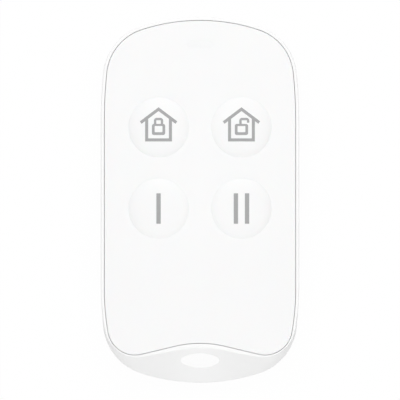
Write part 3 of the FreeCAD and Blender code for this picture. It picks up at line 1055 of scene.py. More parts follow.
class ThreadTree(RuleTree):
    """Cuts a screw thread that fades out under the head and tapers at the tip."""

    name = "threaded_shank"
    kinds = {
        "Segments": "Int", "Rings": "Int", "Radius": "Float", "Depth": "Float", "Pitch": "Float",
        "Low": "Float", "Length": "Float", "Centre": "Vector",
    }
    fade_share = 1 / 8
    point_share = 1 / 4
    tip_share = 0.4

    def wire(self) -> Wire:
        """Wires a grid whose reach follows a helix, with a closing row at either end.

        Returns:
            Threaded shank.
        """
        given = self.given
        rings = given["Rings"]
        grid, around, row = self.laid(given["Segments"], self.math("ADD", rings, 3.0))
        step = self.math("DIVIDE", self.math("SUBTRACT", row, 1.0), rings, clamped=True)
        height = self.math("MULTIPLY", step, given["Length"])
        turns = self.math("ADD", self.math("DIVIDE", height, given["Pitch"]), around)
        wave = self.math("ABSOLUTE", self.math("MULTIPLY_ADD", self.math("FRACT", turns), 2.0, -1.0))
        fade = self.math("MULTIPLY", step, 1 / self.fade_share, clamped=True)
        left = self.math("SUBTRACT", 1.0, step)
        point = self.math("POWER", self.math("MULTIPLY", left, 1 / self.point_share, clamped=True), 0.5)
        groove = self.math("SUBTRACT", 1.0, self.math("MULTIPLY", wave, fade))
        reach = self.math("SUBTRACT", given["Radius"], self.math("MULTIPLY", given["Depth"], groove))
        for share in (
            self.math("MULTIPLY_ADD", point, 1 - self.tip_share, self.tip_share),
            self.math("LESS_THAN", row, self.math("ADD", rings, 1.5)),
            self.math("GREATER_THAN", row, 0.5),
        ):
            reach = self.math("MULTIPLY", reach, share)
        return self.wrapped(grid, *self.spun(reach, around), self.math("ADD", height, given["Low"]))


class PatternTree(RuleTree):
    """Sets a small piece out in rows and columns."""

    name = "piece_pattern"
    kinds = {
        "Piece": "Object", "Columns": "Int", "Rows": "Int", "Pitch": "Vector", "Centre": "Vector",
        "Quarter Turns": "Int",
    }

    def wire(self) -> Wire:
        """Wires a grid of places that each get one instance.

        Returns:
            The instances.
        """
        given = self.given
        pitch, feeds = self.parts(given["Pitch"]), {}
        for name, axis in (("Columns", "X"), ("Rows", "Y")):
            gaps = self.math("SUBTRACT", given[name], 1.0)
            feeds[f"Vertices {axis}"] = given[name]
            feeds[f"Size {axis}"] = self.math("MULTIPLY", gaps, pitch[axis])
        angle = self.math("MULTIPLY", given["Quarter Turns"], QUARTER)
        spread = self.node("GeometryNodeInstanceOnPoints", {
            "Points": self.node("GeometryNodeMeshGrid", feeds),
            "Instance": self.shape("Piece"),
            "Rotation": self.node("ShaderNodeCombineXYZ", {"Z": angle}),
        })
        feeds = {"Instances": spread, "Translation": given["Centre"], "Local Space": False}
        return self.node("GeometryNodeTranslateInstances", feeds)

    def spread(
        self, shell: Shell, piece: Shell, finish: Finish, counts: tuple[int, int], pitch: Point2,
        centre: Point3, quarters: int = 0,
    ) -> None:
        """Adds a pattern of a piece to a shell.

        Args:
            shell: Shell that gets it.
            piece: Piece, about its own origin.
            finish: Finish of the faces.
            counts: Columns and rows.
            pitch: Distance between columns and between rows.
            centre: Middle of the pattern.
            quarters: Quarter turns of each piece.
        """
        self.run(
            shell, finish, Piece=piece.mesh("pattern_piece"), Columns=counts[0], Rows=counts[1],
            Pitch=(*pitch, 0.0), Centre=centre, Quarter_Turns=quarters,
        )


class StripTree(RuleTree):
    """Lays a flat or upright strip along paths."""

    name = "strip_on_path"
    kinds = {"Path": "Object", "Width": "Float", "Height": "Float"}

    def wire(self) -> Wire:
        """Wires a rectangle that is swept along each path.

        Returns:
            The strips.
        """
        curve = self.node("GeometryNodeMeshToCurve", {"Mesh": self.shape("Path")})
        upright = self.node("GeometryNodeSetCurveNormal", {"Curve": curve}, mode="Z_UP")
        sizes = {name: self.given[name] for name in ("Width", "Height")}
        section = self.node("GeometryNodeCurvePrimitiveQuadrilateral", sizes)
        feeds = {"Curve": upright, "Profile Curve": section, "Fill Caps": True}
        return self.node("GeometryNodeCurveToMesh", feeds)

    def lay(self, shell: Shell, paths: Columns, finish: Finish, width: float, height: float) -> None:
        """Adds strips to a shell.

        Args:
            shell: Shell that gets them.
            paths: Middle lines of the strips.
            finish: Finish of the faces.
            width: Size across the path.
            height: Size upwards.
        """
        points, edges = [], []
        for path in paths:
            edges += [(len(points) + k, len(points) + k + 1) for k in range(len(path) - 1)]
            points += [point * MM for point in path]
        line = bpy.data.meshes.new("path")
        line.from_pydata(points, edges, [])
        self.run(shell, finish, Path=line, Width=width, Height=height)


@dataclass
class Workshop:
    """Makes finished pieces, with the trees that shape them by a rule."""

    turned: TurnedTree = field(default_factory=TurnedTree)
    thread: ThreadTree = field(default_factory=ThreadTree)
    pattern: PatternTree = field(default_factory=PatternTree)
    strip: StripTree = field(default_factory=StripTree)

    def piece(
        self, name: str, shell: Shell, finish: Finish, nodes: Sequence[str] = (),
        body: Body = Body.CASE, slot: Optional[Finish] = None,
    ) -> bpy.types.Object:
        """Makes a shell into a piece of the fob.

        Args:
            name: Name of the piece.
            shell: Its shape.
            finish: Its finish.
            nodes: CAD nodes that it stands for.
            body: Body that it rides on.
            slot: Not used.

        Returns:
            The object.
        """
        mesh = shell.mesh(name)
        mesh.materials.append(material_of(finish))
        made = linked(name, mesh)
        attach(made, body.value)
        if nodes:
            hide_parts(*nodes)
        LOG.info("piece %s: %d faces on %s", name, len(mesh.polygons), body.value)
        return made


# ---- what the sub-assemblies are fitted to


@dataclass(frozen=True)
class RingSlot:
    """Oval key-ring slot through the lip: an outline of four arcs, long across the fob."""

    y: float = -26.62
    length: float = 6.4
    width: float = 2.44
    end_radius: float = 0.62
    parting_draft: float = 0.06
    back_draft: float = 0.15
    steps: tuple[int, int] = (18, 40)

    def loop(self, offset: float) -> Line:
        """Traces the slot.

        Args:
            offset: How far its outline is grown.

        Returns:
            Points, anticlockwise.
        """
        reach, half = self.length / 2 - self.end_radius, self.width / 2
        side = (reach ** 2 + half ** 2 - self.end_radius ** 2) / (self.width - 2 * self.end_radius)
        rise = side - half
        turn = atan2(rise, reach)
        small, big = self.end_radius + offset, side + offset
        arcs = (
            Arc((reach, self.y), small, -turn, turn),
            Arc((0.0, self.y - rise), big, turn, pi - turn),
            Arc((-reach, self.y), small, pi - turn, pi + turn),
            Arc((0.0, self.y + rise), big, pi + turn, 2 * pi - turn),
        )
        return [spot for arc, count in zip(arcs, self.steps * 2) for spot in arc.points(count, False)]

    def heading(self, x: float, y: float) -> float:
        """Returns a point's direction from the slot's middle, with the slot drawn round."""
        return atan2((y - self.y) / self.width, x / self.length) % (2 * pi)

    def matched(self, spots: Sequence[Vector]) -> list[tuple[Vector, Vector]]:
        """Finds the points of the slot's edge that face a ring of points.

        Args:
            spots: Points round the slot.

        Returns:
            For each, the point of the edge and the way out of the slot.
        """
        edge = [Vector(point) for point in self.loop(0)]
        out = [(Vector(b) - a).normalized() for a, b in zip(edge, self.loop(0.1))]
        turns = np.array([self.heading(*point) for point in edge])
        order = np.argsort(turns)
        wanted = [self.heading(spot.x, spot.y) for spot in spots]
        found = [
            np.interp(wanted, turns[order], [row[k][axis] for k in order], period=2 * pi)
            for row in (edge, out) for axis in (0, 1)
        ]
        return [(Vector((x, y, 0)), Vector((dx, dy, 0)).normalized()) for x, y, dx, dy in zip(*found)]


@dataclass(frozen=True)
class Openings:
    """Places and sizes of what passes through the deck and the front skin."""

    key_x: Point2 = (-6.87, 6.87)
    key_y: Point2 = (12.05, -1.41)
    key_radius: float = 5.0
    key_gap: float = 0.0015
    well_side: float = 11.56
    well_corner: float = 0.2
    lens_y: float = 25.8
    lens_length: float = 4.3
    lens_width: float = 1.1
    lens_gap: float = 0.004
    lens_steps: int = 10
    tab_x: float = 12.4
    tab_reach: float = 7.38
    tab_length: float = 2.4
    tab_width: float = 0.8
    tab_gap: float = 0.05
    tab_foot_z: float = 8.6

    def key_centres(self) -> Line:
        """Returns the centres of the keys, row by row from the indicator end."""
        return [(x, y) for y in self.key_y for x in self.key_x]

    def tab_centres(self) -> Line:
        """Returns the centres of the skin's tabs."""
        rows = (self.key_y[0] + self.tab_reach, self.key_y[-1] - self.tab_reach)
        return [(side * self.tab_x, y) for y in rows for side in (-1, 1)]

    def lens_loop(self, offset: float) -> Line:
        """Returns the outline of the indicator window, grown by an offset."""
        width = self.lens_width
        return rounded_loop(0, self.lens_y, self.lens_length, width, width / 2, self.lens_steps)(offset)

    def deck_holes(self) -> Edges:
        """Draws the openings of the deck.

        Returns:
            Outlines of the wells, of the window and of the tabs' slots.
        """
        side = self.well_side
        wells = [rounded_loop(x, y, side, side, self.well_corner, 2)(0) for x, y in self.key_centres()]
        slots = [
            rounded_loop(x, y, self.tab_length, self.tab_width, 0.0, 1)(self.tab_gap)
            for x, y in self.tab_centres()
        ]
        return [*wells, self.lens_loop(self.lens_gap), *slots]


@dataclass
class Assembly:
    """Sub-assembly, with the workshop that makes its pieces and the forms it is fitted to."""

    workshop: Workshop
    form: CaseForm = CaseForm()
    openings: Openings = Openings()
    slot: RingSlot = RingSlot()
    shell: Shell = field(default_factory=Shell)

    def build(self) -> None:
        """Builds the pieces."""
        raise NotImplementedError


# ---- case shells


@dataclass
class FrontFrame(Assembly):
    """Upper shell: rim, drafted sides, ruled lip with the ring slot, deck, board posts and bosses."""

    rim_share: float = 0.72
    rim_round: Round = Round(0.14, 8)
    seam_round: Round = Round(0.03, 3)
    slot_round: Round = Round(0.05, 4)
    wall_steps: int = 26
    window_columns: tuple[int, int] = (-4, 52)
    window_rows: tuple[int, int] = (1, 24)
    patch_margin: int = 4
    patch_rings: int = 9
    patch_power: float = 1.3
    cavity_inset: float = 0.87
    overcut: float = 1.0
    crown_passes: int = 6
    pin_side: float = 1.2
    pin_tip: float = 0.4
    pin_edge: float = 0.15
    boss_radius: float = 2.2
    boss_edge: float = 0.1
    bore_radius: float = 0.87
    bore_top: float = 7.0
    bore_tip: float = 0.3
    bore_edge: float = 0.2
    sink: float = 0.2
    pocket_x: float = 15.31
    pocket_z: Point2 = (4.715, 5.235)
    pocket_reach: float = 2.06

    def columns(self) -> Columns:
        """Works out the outside of the frame.

        Returns:
            A column of points for each place round, from the deck over the rim to the parting.
        """
        form = self.form
        rise = form.crown_z - form.parting_z
        lift = self.rim_share * self.overcut * (form.lip_length - form.rim_width) / rise
        loops = (
            form.case_loop(0), form.case_loop(-1),
            form.seam_loop(form.rim_width - form.side_draft, lift), form.seam_loop(form.seam_gap / 2),
        )
        made = []
        for foot_at, inner_at, top_at, seam_at in zip(*loops):
            foot, inner = lifted((foot_at, inner_at), form.parting_z)
            seam = form.on_crown(seam_at)
            corner = top = Vector((*top_at, form.crown_z + self.overcut))
            for _ in range(self.crown_passes):
                corner = foot.lerp(top, (form.crown(corner.x) - foot.z) / (top.z - foot.z))
            across, down = (seam - corner).normalized(), (foot - corner).normalized()
            column = [Vector((*seam_at, form.deck_top_z))]
            column += roll(seam, DOWN, -across, self.seam_round)
            column += roll(corner, across, down, self.rim_round)
            start, end = column.pop(), foot - down * form.parting_round.size
            column += [start.lerp(end, k / self.wall_steps) for k in range(self.wall_steps)]
            column += roll(foot, -down, (inner - foot).normalized(), form.parting_round)
            made.append(column)
        return made

    def lip_patch(self, columns: Columns, first_row: int) -> list[Vector]:
        """Leads the lip's surface round the ring slot and down through it.

        Args:
            columns: Frame's columns.
            first_row: Row where the wall starts.

        Returns:
            Ring of points at the slot's lower mouth.
        """
        form, lip, count, margin = self.form, Shell(), len(columns), self.patch_margin
        left, right = self.window_columns
        low, high = (first_row + row for row in self.window_rows)
        rows = slice(first_row, first_row + self.wall_steps + 1)
        lip.sheet([columns[i % count][rows] for i in range(left - margin, right + margin + 1)], closed=False)
        tree = BVHTree.FromPolygons(lip.points, lip.faces)
        edge = [columns[i % count][high] for i in range(left, right)]
        edge += [columns[right % count][k] for k in range(high, low, -1)]
        edge += [columns[i % count][low] for i in range(right, left, -1)]
        edge += [columns[left % count][k] for k in range(low, high)]
        above, rings = form.crown_z + self.overcut, []
        for start, (spot, out) in zip(edge, self.slot.matched(edge)):
            hit, normal, _, _ = tree.ray_cast(Vector((spot.x, spot.y, above)), DOWN)
            along = Vector((out.x, out.y, -normal.dot(out) / normal.z)).normalized()
            rolled = roll(hit, along, DOWN, self.slot_round)
            way = [start]
            for k in range(1, self.patch_rings):
                at = start.lerp(rolled[0], 1 - (1 - k / self.patch_rings) ** self.patch_power)
                way.append(tree.ray_cast(Vector((at.x, at.y, above)), DOWN)[0])
            foot = spot + out * self.slot.parting_draft + UP * form.parting_z
            rings.append(way + rolled + roll(foot, UP, out, form.parting_round))
        self.shell.sheet(rings)
        return rows_of(rings, -1)[0]

    def build(self) -> None:
        """Builds the frame."""
        form, shell, columns = self.form, self.shell, self.columns()
        first_row = 2 + self.seam_round.steps + self.rim_round.steps
        left, right = self.window_columns
        low, high = (first_row + row for row in self.window_rows)
        shell.sheet(
            columns,
            skip=lambda i, k: low <= k < high and left <= (i if i <= right else i - len(columns)) < right,
        )
        slot_ring, cavity = self.lip_patch(columns, first_row), self.inner_wall()
        deck_edge, parting_edge = rows_of(columns, 0, -1)
        shell.plate([parting_edge, lifted(cavity, form.parting_z), slot_ring])
        under, over = (
            [lifted(hole, z) for hole in self.openings.deck_holes()] for z in (form.deck_z, form.deck_top_z)
        )
        shell.plate([lifted(cavity, form.deck_z), *under])
        shell.plate([deck_edge, *over])
        for pair in zip(under, over):
            shell.sheet(zip(*pair))
        self.add_posts()
        self.workshop.piece("front_frame_shell", shell, Finish.CASE_PLASTIC, ["front_frame"])

    def inner_wall(self) -> Line:
        """Adds the wall round the inside, with the pockets for the cover's catches.

        Returns:
            Wall's outline.
        """
        shell, reach, wall, places = self.shell, self.pocket_reach, [], self.form.catch_y
        loop = self.form.seam_loop(-self.cavity_inset)
        for start, end in zip(loop, [*loop[1:], loop[0]]):
            low, high = sorted((start[1], end[1]))
            cuts = [cut for y in places for cut in (y - reach, y + reach) if low < cut < high]
            shares = sorted((cut - start[1]) / (end[1] - start[1]) for cut in cuts)
            wall += [start, *(Run(start, end).at(share) for share in shares)]
        middles = [(start[1] + end[1]) / 2 for start, end in zip(wall, [*wall[1:], wall[0]])]
        foot, top = self.pocket_z
        rows = [lifted(wall, z) for z in (self.form.parting_z, foot, top, self.form.deck_z)]
        shell.sheet(zip(*rows), skip=lambda i, k: k == 1 and any(abs(middles[i] - y) < reach for y in places))
        for side, y in ((side, y) for side in (-1, 1) for y in places):
            back = side * self.pocket_x
            mouth = [spot for spot in wall if side * spot[0] > 0 and abs(spot[1] - y) < reach + SHARP]
            columns = [
                [Vector((x, at, z)) for x, z in ((near, foot), (back, foot), (back, top), (near, top))]
                for near, at in mouth
            ]
            shell.sheet(columns, closed=False)
            shell.face(columns[0])
            shell.face(columns[-1])
        return wall

    def add_posts(self) -> None:
        """Adds the posts that clamp the board, their pins and the screw bosses."""
        form, shell, side, pin = self.form, self.shell, self.form.post_side, self.pin_side
        low, high = form.parting_z, form.deck_z + self.sink
        tip, root = form.board_z - self.pin_tip, form.board_top_z + self.pin_tip
        for x, y in form.posts:
            shell.block(x, y, form.board_top_z, side, side, high, form.post_edge)
        for x, y in (form.posts[0], form.posts[-1]):
            shell.block(x, y, tip, pin, pin, root, self.pin_edge)
        bore, boss = self.bore_radius, self.boss_radius
        for x, y in form.screws:
            shell.tower(circle_loop(x, y, 0.0, 32), [
                (SHARP, self.bore_top + self.bore_tip), (bore, self.bore_top),
                (bore, low + self.bore_edge), (bore + self.bore_edge, low),
                (boss - self.boss_edge, low), (boss, low + self.boss_edge), (boss, high), (SHARP, high),
            ])


@dataclass
class RearCover(Assembly):
    """Lower shell: round-edged back with recesses and ring slot, tongue, catches, ribs and columns."""

    back_round: Round = Round(1.9, 12)
    slot_round: Round = Round(0.25, 6)
    slot_spare: float = 0.04
    recess_round: Round = Round(0.15, 4)
    recess_radius: float = 1.65
    bore_radius: float = 1.0
    column_radius: float = 2.2
    column_gap: float = 0.05
    column_edge: float = 0.1
    tongue_inset: float = 0.93
    tongue_thickness: float = 0.7
    tongue_top: float = 5.3
    tongue_edge: float = 0.15
    rib_root: float = 0.4
    pin_hole: float = 1.3
    pin_depth: float = 0.8
    catch_x: float = 14.95
    catch_z: float = 4.775
    catch_size: Point3 = (0.6, 4.0, 0.4)
    catch_corner: float = 0.06
    catch_edge: float = 0.05
    catch_ramp: Point2 = (-0.15, 0.2)

    def columns(self) -> Columns:
        """Works out the outside of the cover.

        Returns:
            A column of points for each place round, from the back to the parting.
        """
        form = self.form
        profile = foot_round(0.0, self.back_round, -1)
        profile.append((0.0, (self.back_round.size + form.parting_z) / 2))
        rows = [lifted(form.case_loop(offset), z) for offset, z in profile]
        edge = [
            roll(foot, DOWN, (inner - foot).normalized(), form.parting_round)
            for foot, inner in zip(*(lifted(form.case_loop(offset), form.parting_z) for offset in (0, -1)))
        ]
        return [[*column, *rolled] for column, rolled in zip(zip(*rows), edge)]

    def build(self) -> None:
        """Builds the cover."""
        form, slot, shell, columns = self.form, self.slot, self.shell, self.columns()
        shell.sheet(columns)
        back_edge, parting_edge = rows_of(columns, 0, -1)
        bend, mouth = form.parting_round.size, slot.parting_draft + form.parting_round.size
        profile = foot_round(slot.back_draft, self.slot_round, spare=self.slot_spare)
        profile += [(slot.parting_draft, form.parting_z - bend), (mouth, form.parting_z)]
        shell.tower(slot.loop, profile, capped=False)
        back_holes, floor_holes = [lifted(slot.loop(profile[0][0]), 0.0)], []
        bore, column, top = self.bore_radius, self.column_radius, form.parting_z - self.column_gap
        profile = foot_round(self.recess_radius, self.recess_round)
        profile += [
            (self.recess_radius, form.seat_z), (bore, form.seat_z), (bore, top),
            (column - self.column_edge, top), (column, top - self.column_edge), (column, form.floor_z),
        ]
        for x, y in form.screws:
            loop = circle_loop(x, y, 0.0)
            shell.tower(loop, profile, capped=False)
            back_holes.append(lifted(loop(profile[0][0]), 0.0))
            floor_holes.append(lifted(loop(column), form.floor_z))
        shell.plate([back_edge, *back_holes])
        edge, top = self.tongue_edge, self.tongue_top
        tongue = [
            lifted(form.seam_loop(-self.tongue_inset - inset), z) for inset, z in (
                (0.0, form.parting_z), (0.0, top - edge), (edge, top), (self.tongue_thickness - edge, top),
                (self.tongue_thickness, top - edge), (self.tongue_thickness, form.floor_z),
            )
        ]
        shell.sheet(zip(*tongue))
        shell.plate([parting_edge, tongue[0], lifted(slot.loop(mouth), form.parting_z)])
        shell.plate([tongue[-1], *floor_holes])
        self.add_ribs()
        self.workshop.piece("rear_cover_shell", shell, Finish.CASE_PLASTIC, ["rear_cover"])

    def add_ribs(self) -> None:
        """Adds the ribs under the board, two with a hole for a pin, and the snap catches."""
        form, side, edge = self.form, self.form.post_side, self.form.post_edge
        low, top, inner = form.floor_z - self.rib_root, form.board_z, (self.pin_hole - side) / 2
        for x, y in form.posts:
            profile = [(-edge, low), (0.0, low + edge), (0.0, top - edge), (-edge, top)]
            if (x, y) in (form.posts[0], form.posts[-1]):
                profile += [(inner, top), (inner, top - self.pin_depth)]
            self.shell.tower(rounded_loop(x, y, side, side, edge, 1), profile)
        (length, width, height), (slope, ramp) = self.catch_size, self.catch_ramp
        low, edge = self.catch_z, self.catch_edge
        profile = [(-edge, low), (0.0, low + edge), (0.0, low + ramp), (slope, low + height)]
        for x, y in ((sign * self.catch_x, y) for sign in (-1, 1) for y in form.catch_y):
            self.shell.tower(rounded_loop(x, y, length, width, self.catch_corner, 2), profile)


@dataclass
class FrontSkin(Assembly):
    """Soft front with the wavy foot, its four key openings, the window slot and the tabs."""

    edge_round: Round = Round(0.04, 5)
    hole_round: Round = Round(0.003, 2)
    support: float = 0.12
    spacing: float = 0.85
    tab_edge: float = 0.1
    tab_root: float = 0.3

    def build(self) -> None:
        """Builds the skin."""
        form, openings, shell = self.form, self.openings, self.shell
        gap, support = -form.seam_gap / 2, self.support
        mouth = openings.key_radius + openings.key_gap
        holes = [circle_loop(x, y, mouth, 96) for x, y in openings.key_centres()]
        holes.append(lambda offset: openings.lens_loop(openings.lens_gap + offset))
        rims = [flush_rim(
            form, lambda offset: form.seam_loop(gap + offset), -1.0, self.edge_round,
            self.edge_round.size + support, form.deck_top_z,
        )]
        rims += [flush_rim(form, hole, 1.0, self.hole_round, support, form.deck_top_z) for hole in holes]
        for rim in rims:
            shell.sheet(rim)
        feet, tops = zip(*(rows_of(rim, 0, -1) for rim in rims))
        shell.plate(tops, form.crown, self.spacing)
        shell.plate(feet)
        for x, y in openings.tab_centres():
            shell.block(
                x, y, openings.tab_foot_z, openings.tab_length, openings.tab_width,
                form.deck_top_z + self.tab_root, self.tab_edge,
            )
        self.workshop.piece("front_skin", shell, Finish.SOFT_SKIN, ["key_panel"])


@dataclass
class IndicatorLens(Assembly):
    """Frosted window flush with the front, with its light guide and shoulder."""

    edge_round: Round = Round(0.01, 3)
    support: float = 0.15
    spacing: float = 0.2
    foot_z: float = 7.3
    shoulder: float = 0.7
    shoulder_z: float = 8.5
    shoulder_edge: float = 0.08

    def build(self) -> None:
        """Builds the window."""
        form, openings, shell = self.form, self.openings, self.shell
        rim = flush_rim(form, openings.lens_loop, -0.2, self.edge_round, self.support, self.foot_z)
        shell.sheet(rim)
        foot, top = rows_of(rim, 0, -1)
        shell.plate([top], form.crown, self.spacing)
        shell.face(foot)
        length, width = (size + 2 * self.shoulder for size in (openings.lens_length, openings.lens_width))
        shell.block(0, openings.lens_y, self.shoulder_z, length, width, form.deck_z, self.shoulder_edge)
        self.workshop.piece("indicator_window", shell, Finish.LENS_PLASTIC, ["indicator_lens"])


# ---- keys


class Pictogram(Enum):
    """What is printed on a key."""

    LOCKED_HOUSE = auto()
    OPEN_HOUSE = auto()
    ONE_BAR = auto()
    TWO_BARS = auto()


@dataclass(frozen=True)
class PrintForm:
    """Sizes of the printed pictograms, from the middle of a key."""

    stroke: float = 0.5
    roof_reach: float = 3.1
    roof_top: float = 3.32
    roof_slope: float = radians(37)
    wall_half: float = 2.22
    wall_foot: float = -2.34
    lock_y: Point2 = (-1.28, 0.55)
    lock_width: float = 2.2
    lock_corner: float = 0.32
    window_y: Point2 = (-0.82, 0.22)
    window_width: float = 1.31
    window_corner: float = 0.12
    shut_x: Point2 = (-0.765, 0.765)
    shackle_top: float = 1.56
    shackle_stroke: float = 0.39
    shackle_radius: float = 0.45
    shackle_least: float = 0.08
    shackle_steps: int = 6
    open_x: Point2 = (-0.36, 1.3)
    open_hook: float = 0.76
    bar_width: float = 0.72
    bar_half: float = 2.52
    bar_pitch: float = 1.85
    bar_corner: float = 0.06

    def house(self) -> Edges:
        """Draws the house.

        Returns:
            Its outer edge and its inner one.
        """
        rise, stroke = tan(self.roof_slope), self.stroke
        under = self.roof_top - stroke / cos(self.roof_slope)
        eave_y = self.roof_top - self.roof_reach * rise
        half, inner, foot = self.wall_half, self.wall_half - stroke, self.wall_foot
        right = [
            (half, foot), (half, under - half * rise),
            (self.roof_reach - stroke * sin(self.roof_slope), eave_y - stroke * cos(self.roof_slope)),
            (self.roof_reach, eave_y),
        ]
        outer = right + [(0.0, self.roof_top)] + [(-x, y) for x, y in reversed(right)]
        foot, head = foot + stroke, under - inner * rise
        return [outer, [(-inner, foot), (inner, foot), (inner, head), (0.0, under), (-inner, head)]]

    def padlock(self, is_open: bool) -> list[Edges]:
        """Draws the padlock.

        Args:
            is_open: Whether its shackle is swung out.

        Returns:
            Edges of the body's print and of the shackle's.
        """
        body, window = (
            rounded_loop(0, sum(rows) / 2, width, rows[1] - rows[0], corner)(0) for rows, width, corner in (
                (self.lock_y, self.lock_width, self.lock_corner),
                (self.window_y, self.window_width, self.window_corner),
            )
        )
        left, right = self.open_x if is_open else self.shut_x
        lines, lock_top = [], self.lock_y[1]
        for inset in (0.0, self.shackle_stroke):
            bend = max(self.shackle_radius - inset, self.shackle_least)
            line = [(left + inset, lock_top)]
            for x, start in ((left + inset + bend, pi), (right - inset - bend, QUARTER)):
                arc = Arc((x, self.shackle_top - inset - bend), bend, start, start - QUARTER)
                line += arc.points(self.shackle_steps)
            lines.append([*line, (right - inset, self.open_hook if is_open else lock_top)])
        return [[body, window], [lines[0] + lines[1][::-1]]]

    def bars(self, count: int) -> list[Edges]:
        """Returns a number of upright bars side by side, one print each."""
        places = ((k - (count - 1) / 2) * self.bar_pitch for k in range(count))
        return [[rounded_loop(x, 0, self.bar_width, 2 * self.bar_half, self.bar_corner)(0)] for x in places]

    def prints(self, pictogram: Pictogram) -> list[Edges]:
        """Draws a pictogram.

        Args:
            pictogram: Which one.

        Returns:
            Its prints, each as an outer edge and the edges inside it.
        """
        if pictogram in (Pictogram.ONE_BAR, Pictogram.TWO_BARS):
            return self.bars(1 if pictogram is Pictogram.ONE_BAR else 2)
        return [self.house(), *self.padlock(pictogram is Pictogram.OPEN_HOUSE)]


@dataclass
class Keys(Assembly):
    """Four keys: domed caps on flanges and posts, with their pictograms printed on."""

    artwork: PrintForm = PrintForm()
    radius: float = 4.9985
    dome_height: float = 0.461
    dome_power: float = 5.0
    crest_shift: float = -1.4
    edge_round: Round = Round(0.003, 2)
    edge_reach: float = 0.1
    rings: int = 26
    flange_side: float = 10.96
    flange_z: float = 9.3
    flange_gap: float = 0.001
    flange_edge: float = 0.1
    post_side: float = 2.8
    post_z: float = 8.25
    post_root: float = 0.2
    post_edge: float = 0.15
    ink_thickness: float = 0.008
    ink_step: float = 0.16
    ink_spacing: float = 0.256

    def dome(self, reach: float) -> float:
        """Returns the dome's height over the crown at a distance from the key's middle."""
        return self.dome_height * (1 - (reach / self.radius) ** self.dome_power)

    def height(self, x: float, y: float, centre: Point2) -> float:
        """Finds how high a key's surface stands over a place in plan.

        Args:
            x: Place across.
            y: Place along.
            centre: Key's middle.

        Returns:
            The height.
        """
        shift, ahead = self.crest_shift, y - centre[1] - self.crest_shift
        left = self.radius ** 2 - shift ** 2
        depth = sqrt((ahead * shift) ** 2 + left * ((x - centre[0]) ** 2 + ahead ** 2))
        return self.form.crown(x) + self.dome(self.radius * (ahead * shift + depth) / left)

    def profile(self) -> Line:
        """Draws the profile that is turned into the cap.

        Returns:
            Reach and height of each point.
        """
        base, low = self.form.crown_z, self.form.deck_top_z - self.flange_edge
        last = self.radius - self.edge_reach
        reaches = [last * k / self.rings for k in range(self.rings + 1)]
        spots = [(reach, base + self.dome(reach)) for reach in reaches]
        edge, inner = (Vector((reach, 0, base + self.dome(reach))) for reach in (self.radius, last))
        rim = roll(edge, (inner - edge).normalized(), DOWN, self.edge_round)
        return [*spots, *((point.x, point.z) for point in rim), (self.radius, low), (0.0, low)]

    def build(self) -> None:
        """Builds the keys and their prints."""
        form, workshop, step = self.form, self.workshop, self.ink_step
        ink_faces = (self.ink_thickness, -self.ink_thickness)
        for body, (x, y), pictogram in zip(KEY_BODIES, self.openings.key_centres(), Pictogram):
            cap, ink, node = Shell(), Shell(), body.value
            workshop.turned.turn(
                cap, self.profile(), (x, y), Finish.SOFT_SKIN, form.crown_radius, self.crest_shift
            )
            side, top = self.flange_side, form.deck_top_z - self.flange_gap
            cap.block(x, y, self.flange_z, side, side, top, self.flange_edge)
            side, top = self.post_side, self.flange_z + self.post_root
            cap.block(x, y, self.post_z, side, side, top, self.post_edge)
            workshop.piece(f"{node}_cap", cap, Finish.SOFT_SKIN, [node], body)
            for edges in self.artwork.prints(pictogram):
                loops = [[(x + a, y + b) for a, b in divided(edge, step)] for edge in edges]
                ink.layer(loops, lambda a, b: self.height(a, b, (x, y)), ink_faces, self.ink_spacing)
            workshop.piece(f"{node}_print", ink, Finish.SYMBOL_INK, body=body, slot=Finish.SOFT_SKIN)


# ---- inside


@dataclass
class CaseScrews(Assembly):
    """Two cross-head screws: rolled head with its cross recess, and a threaded shank."""

    head_z: float = 0.4
    seat_edge: float = 0.05
    head_radius: float = 1.5
    head_round: Round = Round(0.22, 6)
    head_flat: float = 0.06
    cross_length: float = 1.9
    cross_width: float = 0.42
    cross_depth: float = 0.6
    cross_taper: float = 0.12
    shank_radius: float = 0.85
    shank_root: float = 0.2
    thread_depth: float = 0.2
    pitch: float = 0.62
    tip_z: float = 6.6
    rings: int = 72
    segments: int = 28

    def cross(self, inset: float) -> Line:
        """Returns the corners of the cross recess, shrunk by an inset."""
        long, short = self.cross_length / 2 - inset, self.cross_width / 2 - inset / 3
        return quartered([(long, -short), (long, short), (short, short)])

    def build(self) -> None:
        """Builds both screws as one piece."""
        shell, edge, size = self.shell, self.seat_edge, self.head_round.size
        rolled = Arc((-size, self.head_z + size), size, -QUARTER, 0).points(self.head_round.steps)
        flat, seat_z = -size - self.head_flat, self.form.seat_z
        low = seat_z - self.shank_root
        profile = [(flat, self.head_z), *rolled, (0.0, seat_z - edge), (-edge, seat_z)]
        for x, y in self.form.screws:
            loop = circle_loop(x, y, self.head_radius)
            shell.tower(loop, profile, capped=False)
            mouth, foot = (
                lifted(((x + a, y + b) for a, b in self.cross(inset)), self.head_z + sink)
                for inset, sink in ((0.0, 0.0), (self.cross_taper, self.cross_depth))
            )
            shell.sheet(zip(mouth, foot))
            shell.plate([lifted(loop(flat), self.head_z), mouth])
            shell.plate([foot])
            shell.face(lifted(loop(-edge), seat_z))
            self.workshop.thread.run(
                shell, Finish.SCREW_STEEL, Segments=self.segments, Rings=self.rings, Centre=(x, y, 0.0),
                Radius=self.shank_radius, Depth=self.thread_depth, Pitch=self.pitch, Low=low,
                Length=self.tip_z - low,
            )
        self.workshop.piece("case_screw_pair", shell, Finish.SCREW_STEEL, ["case_screws"])


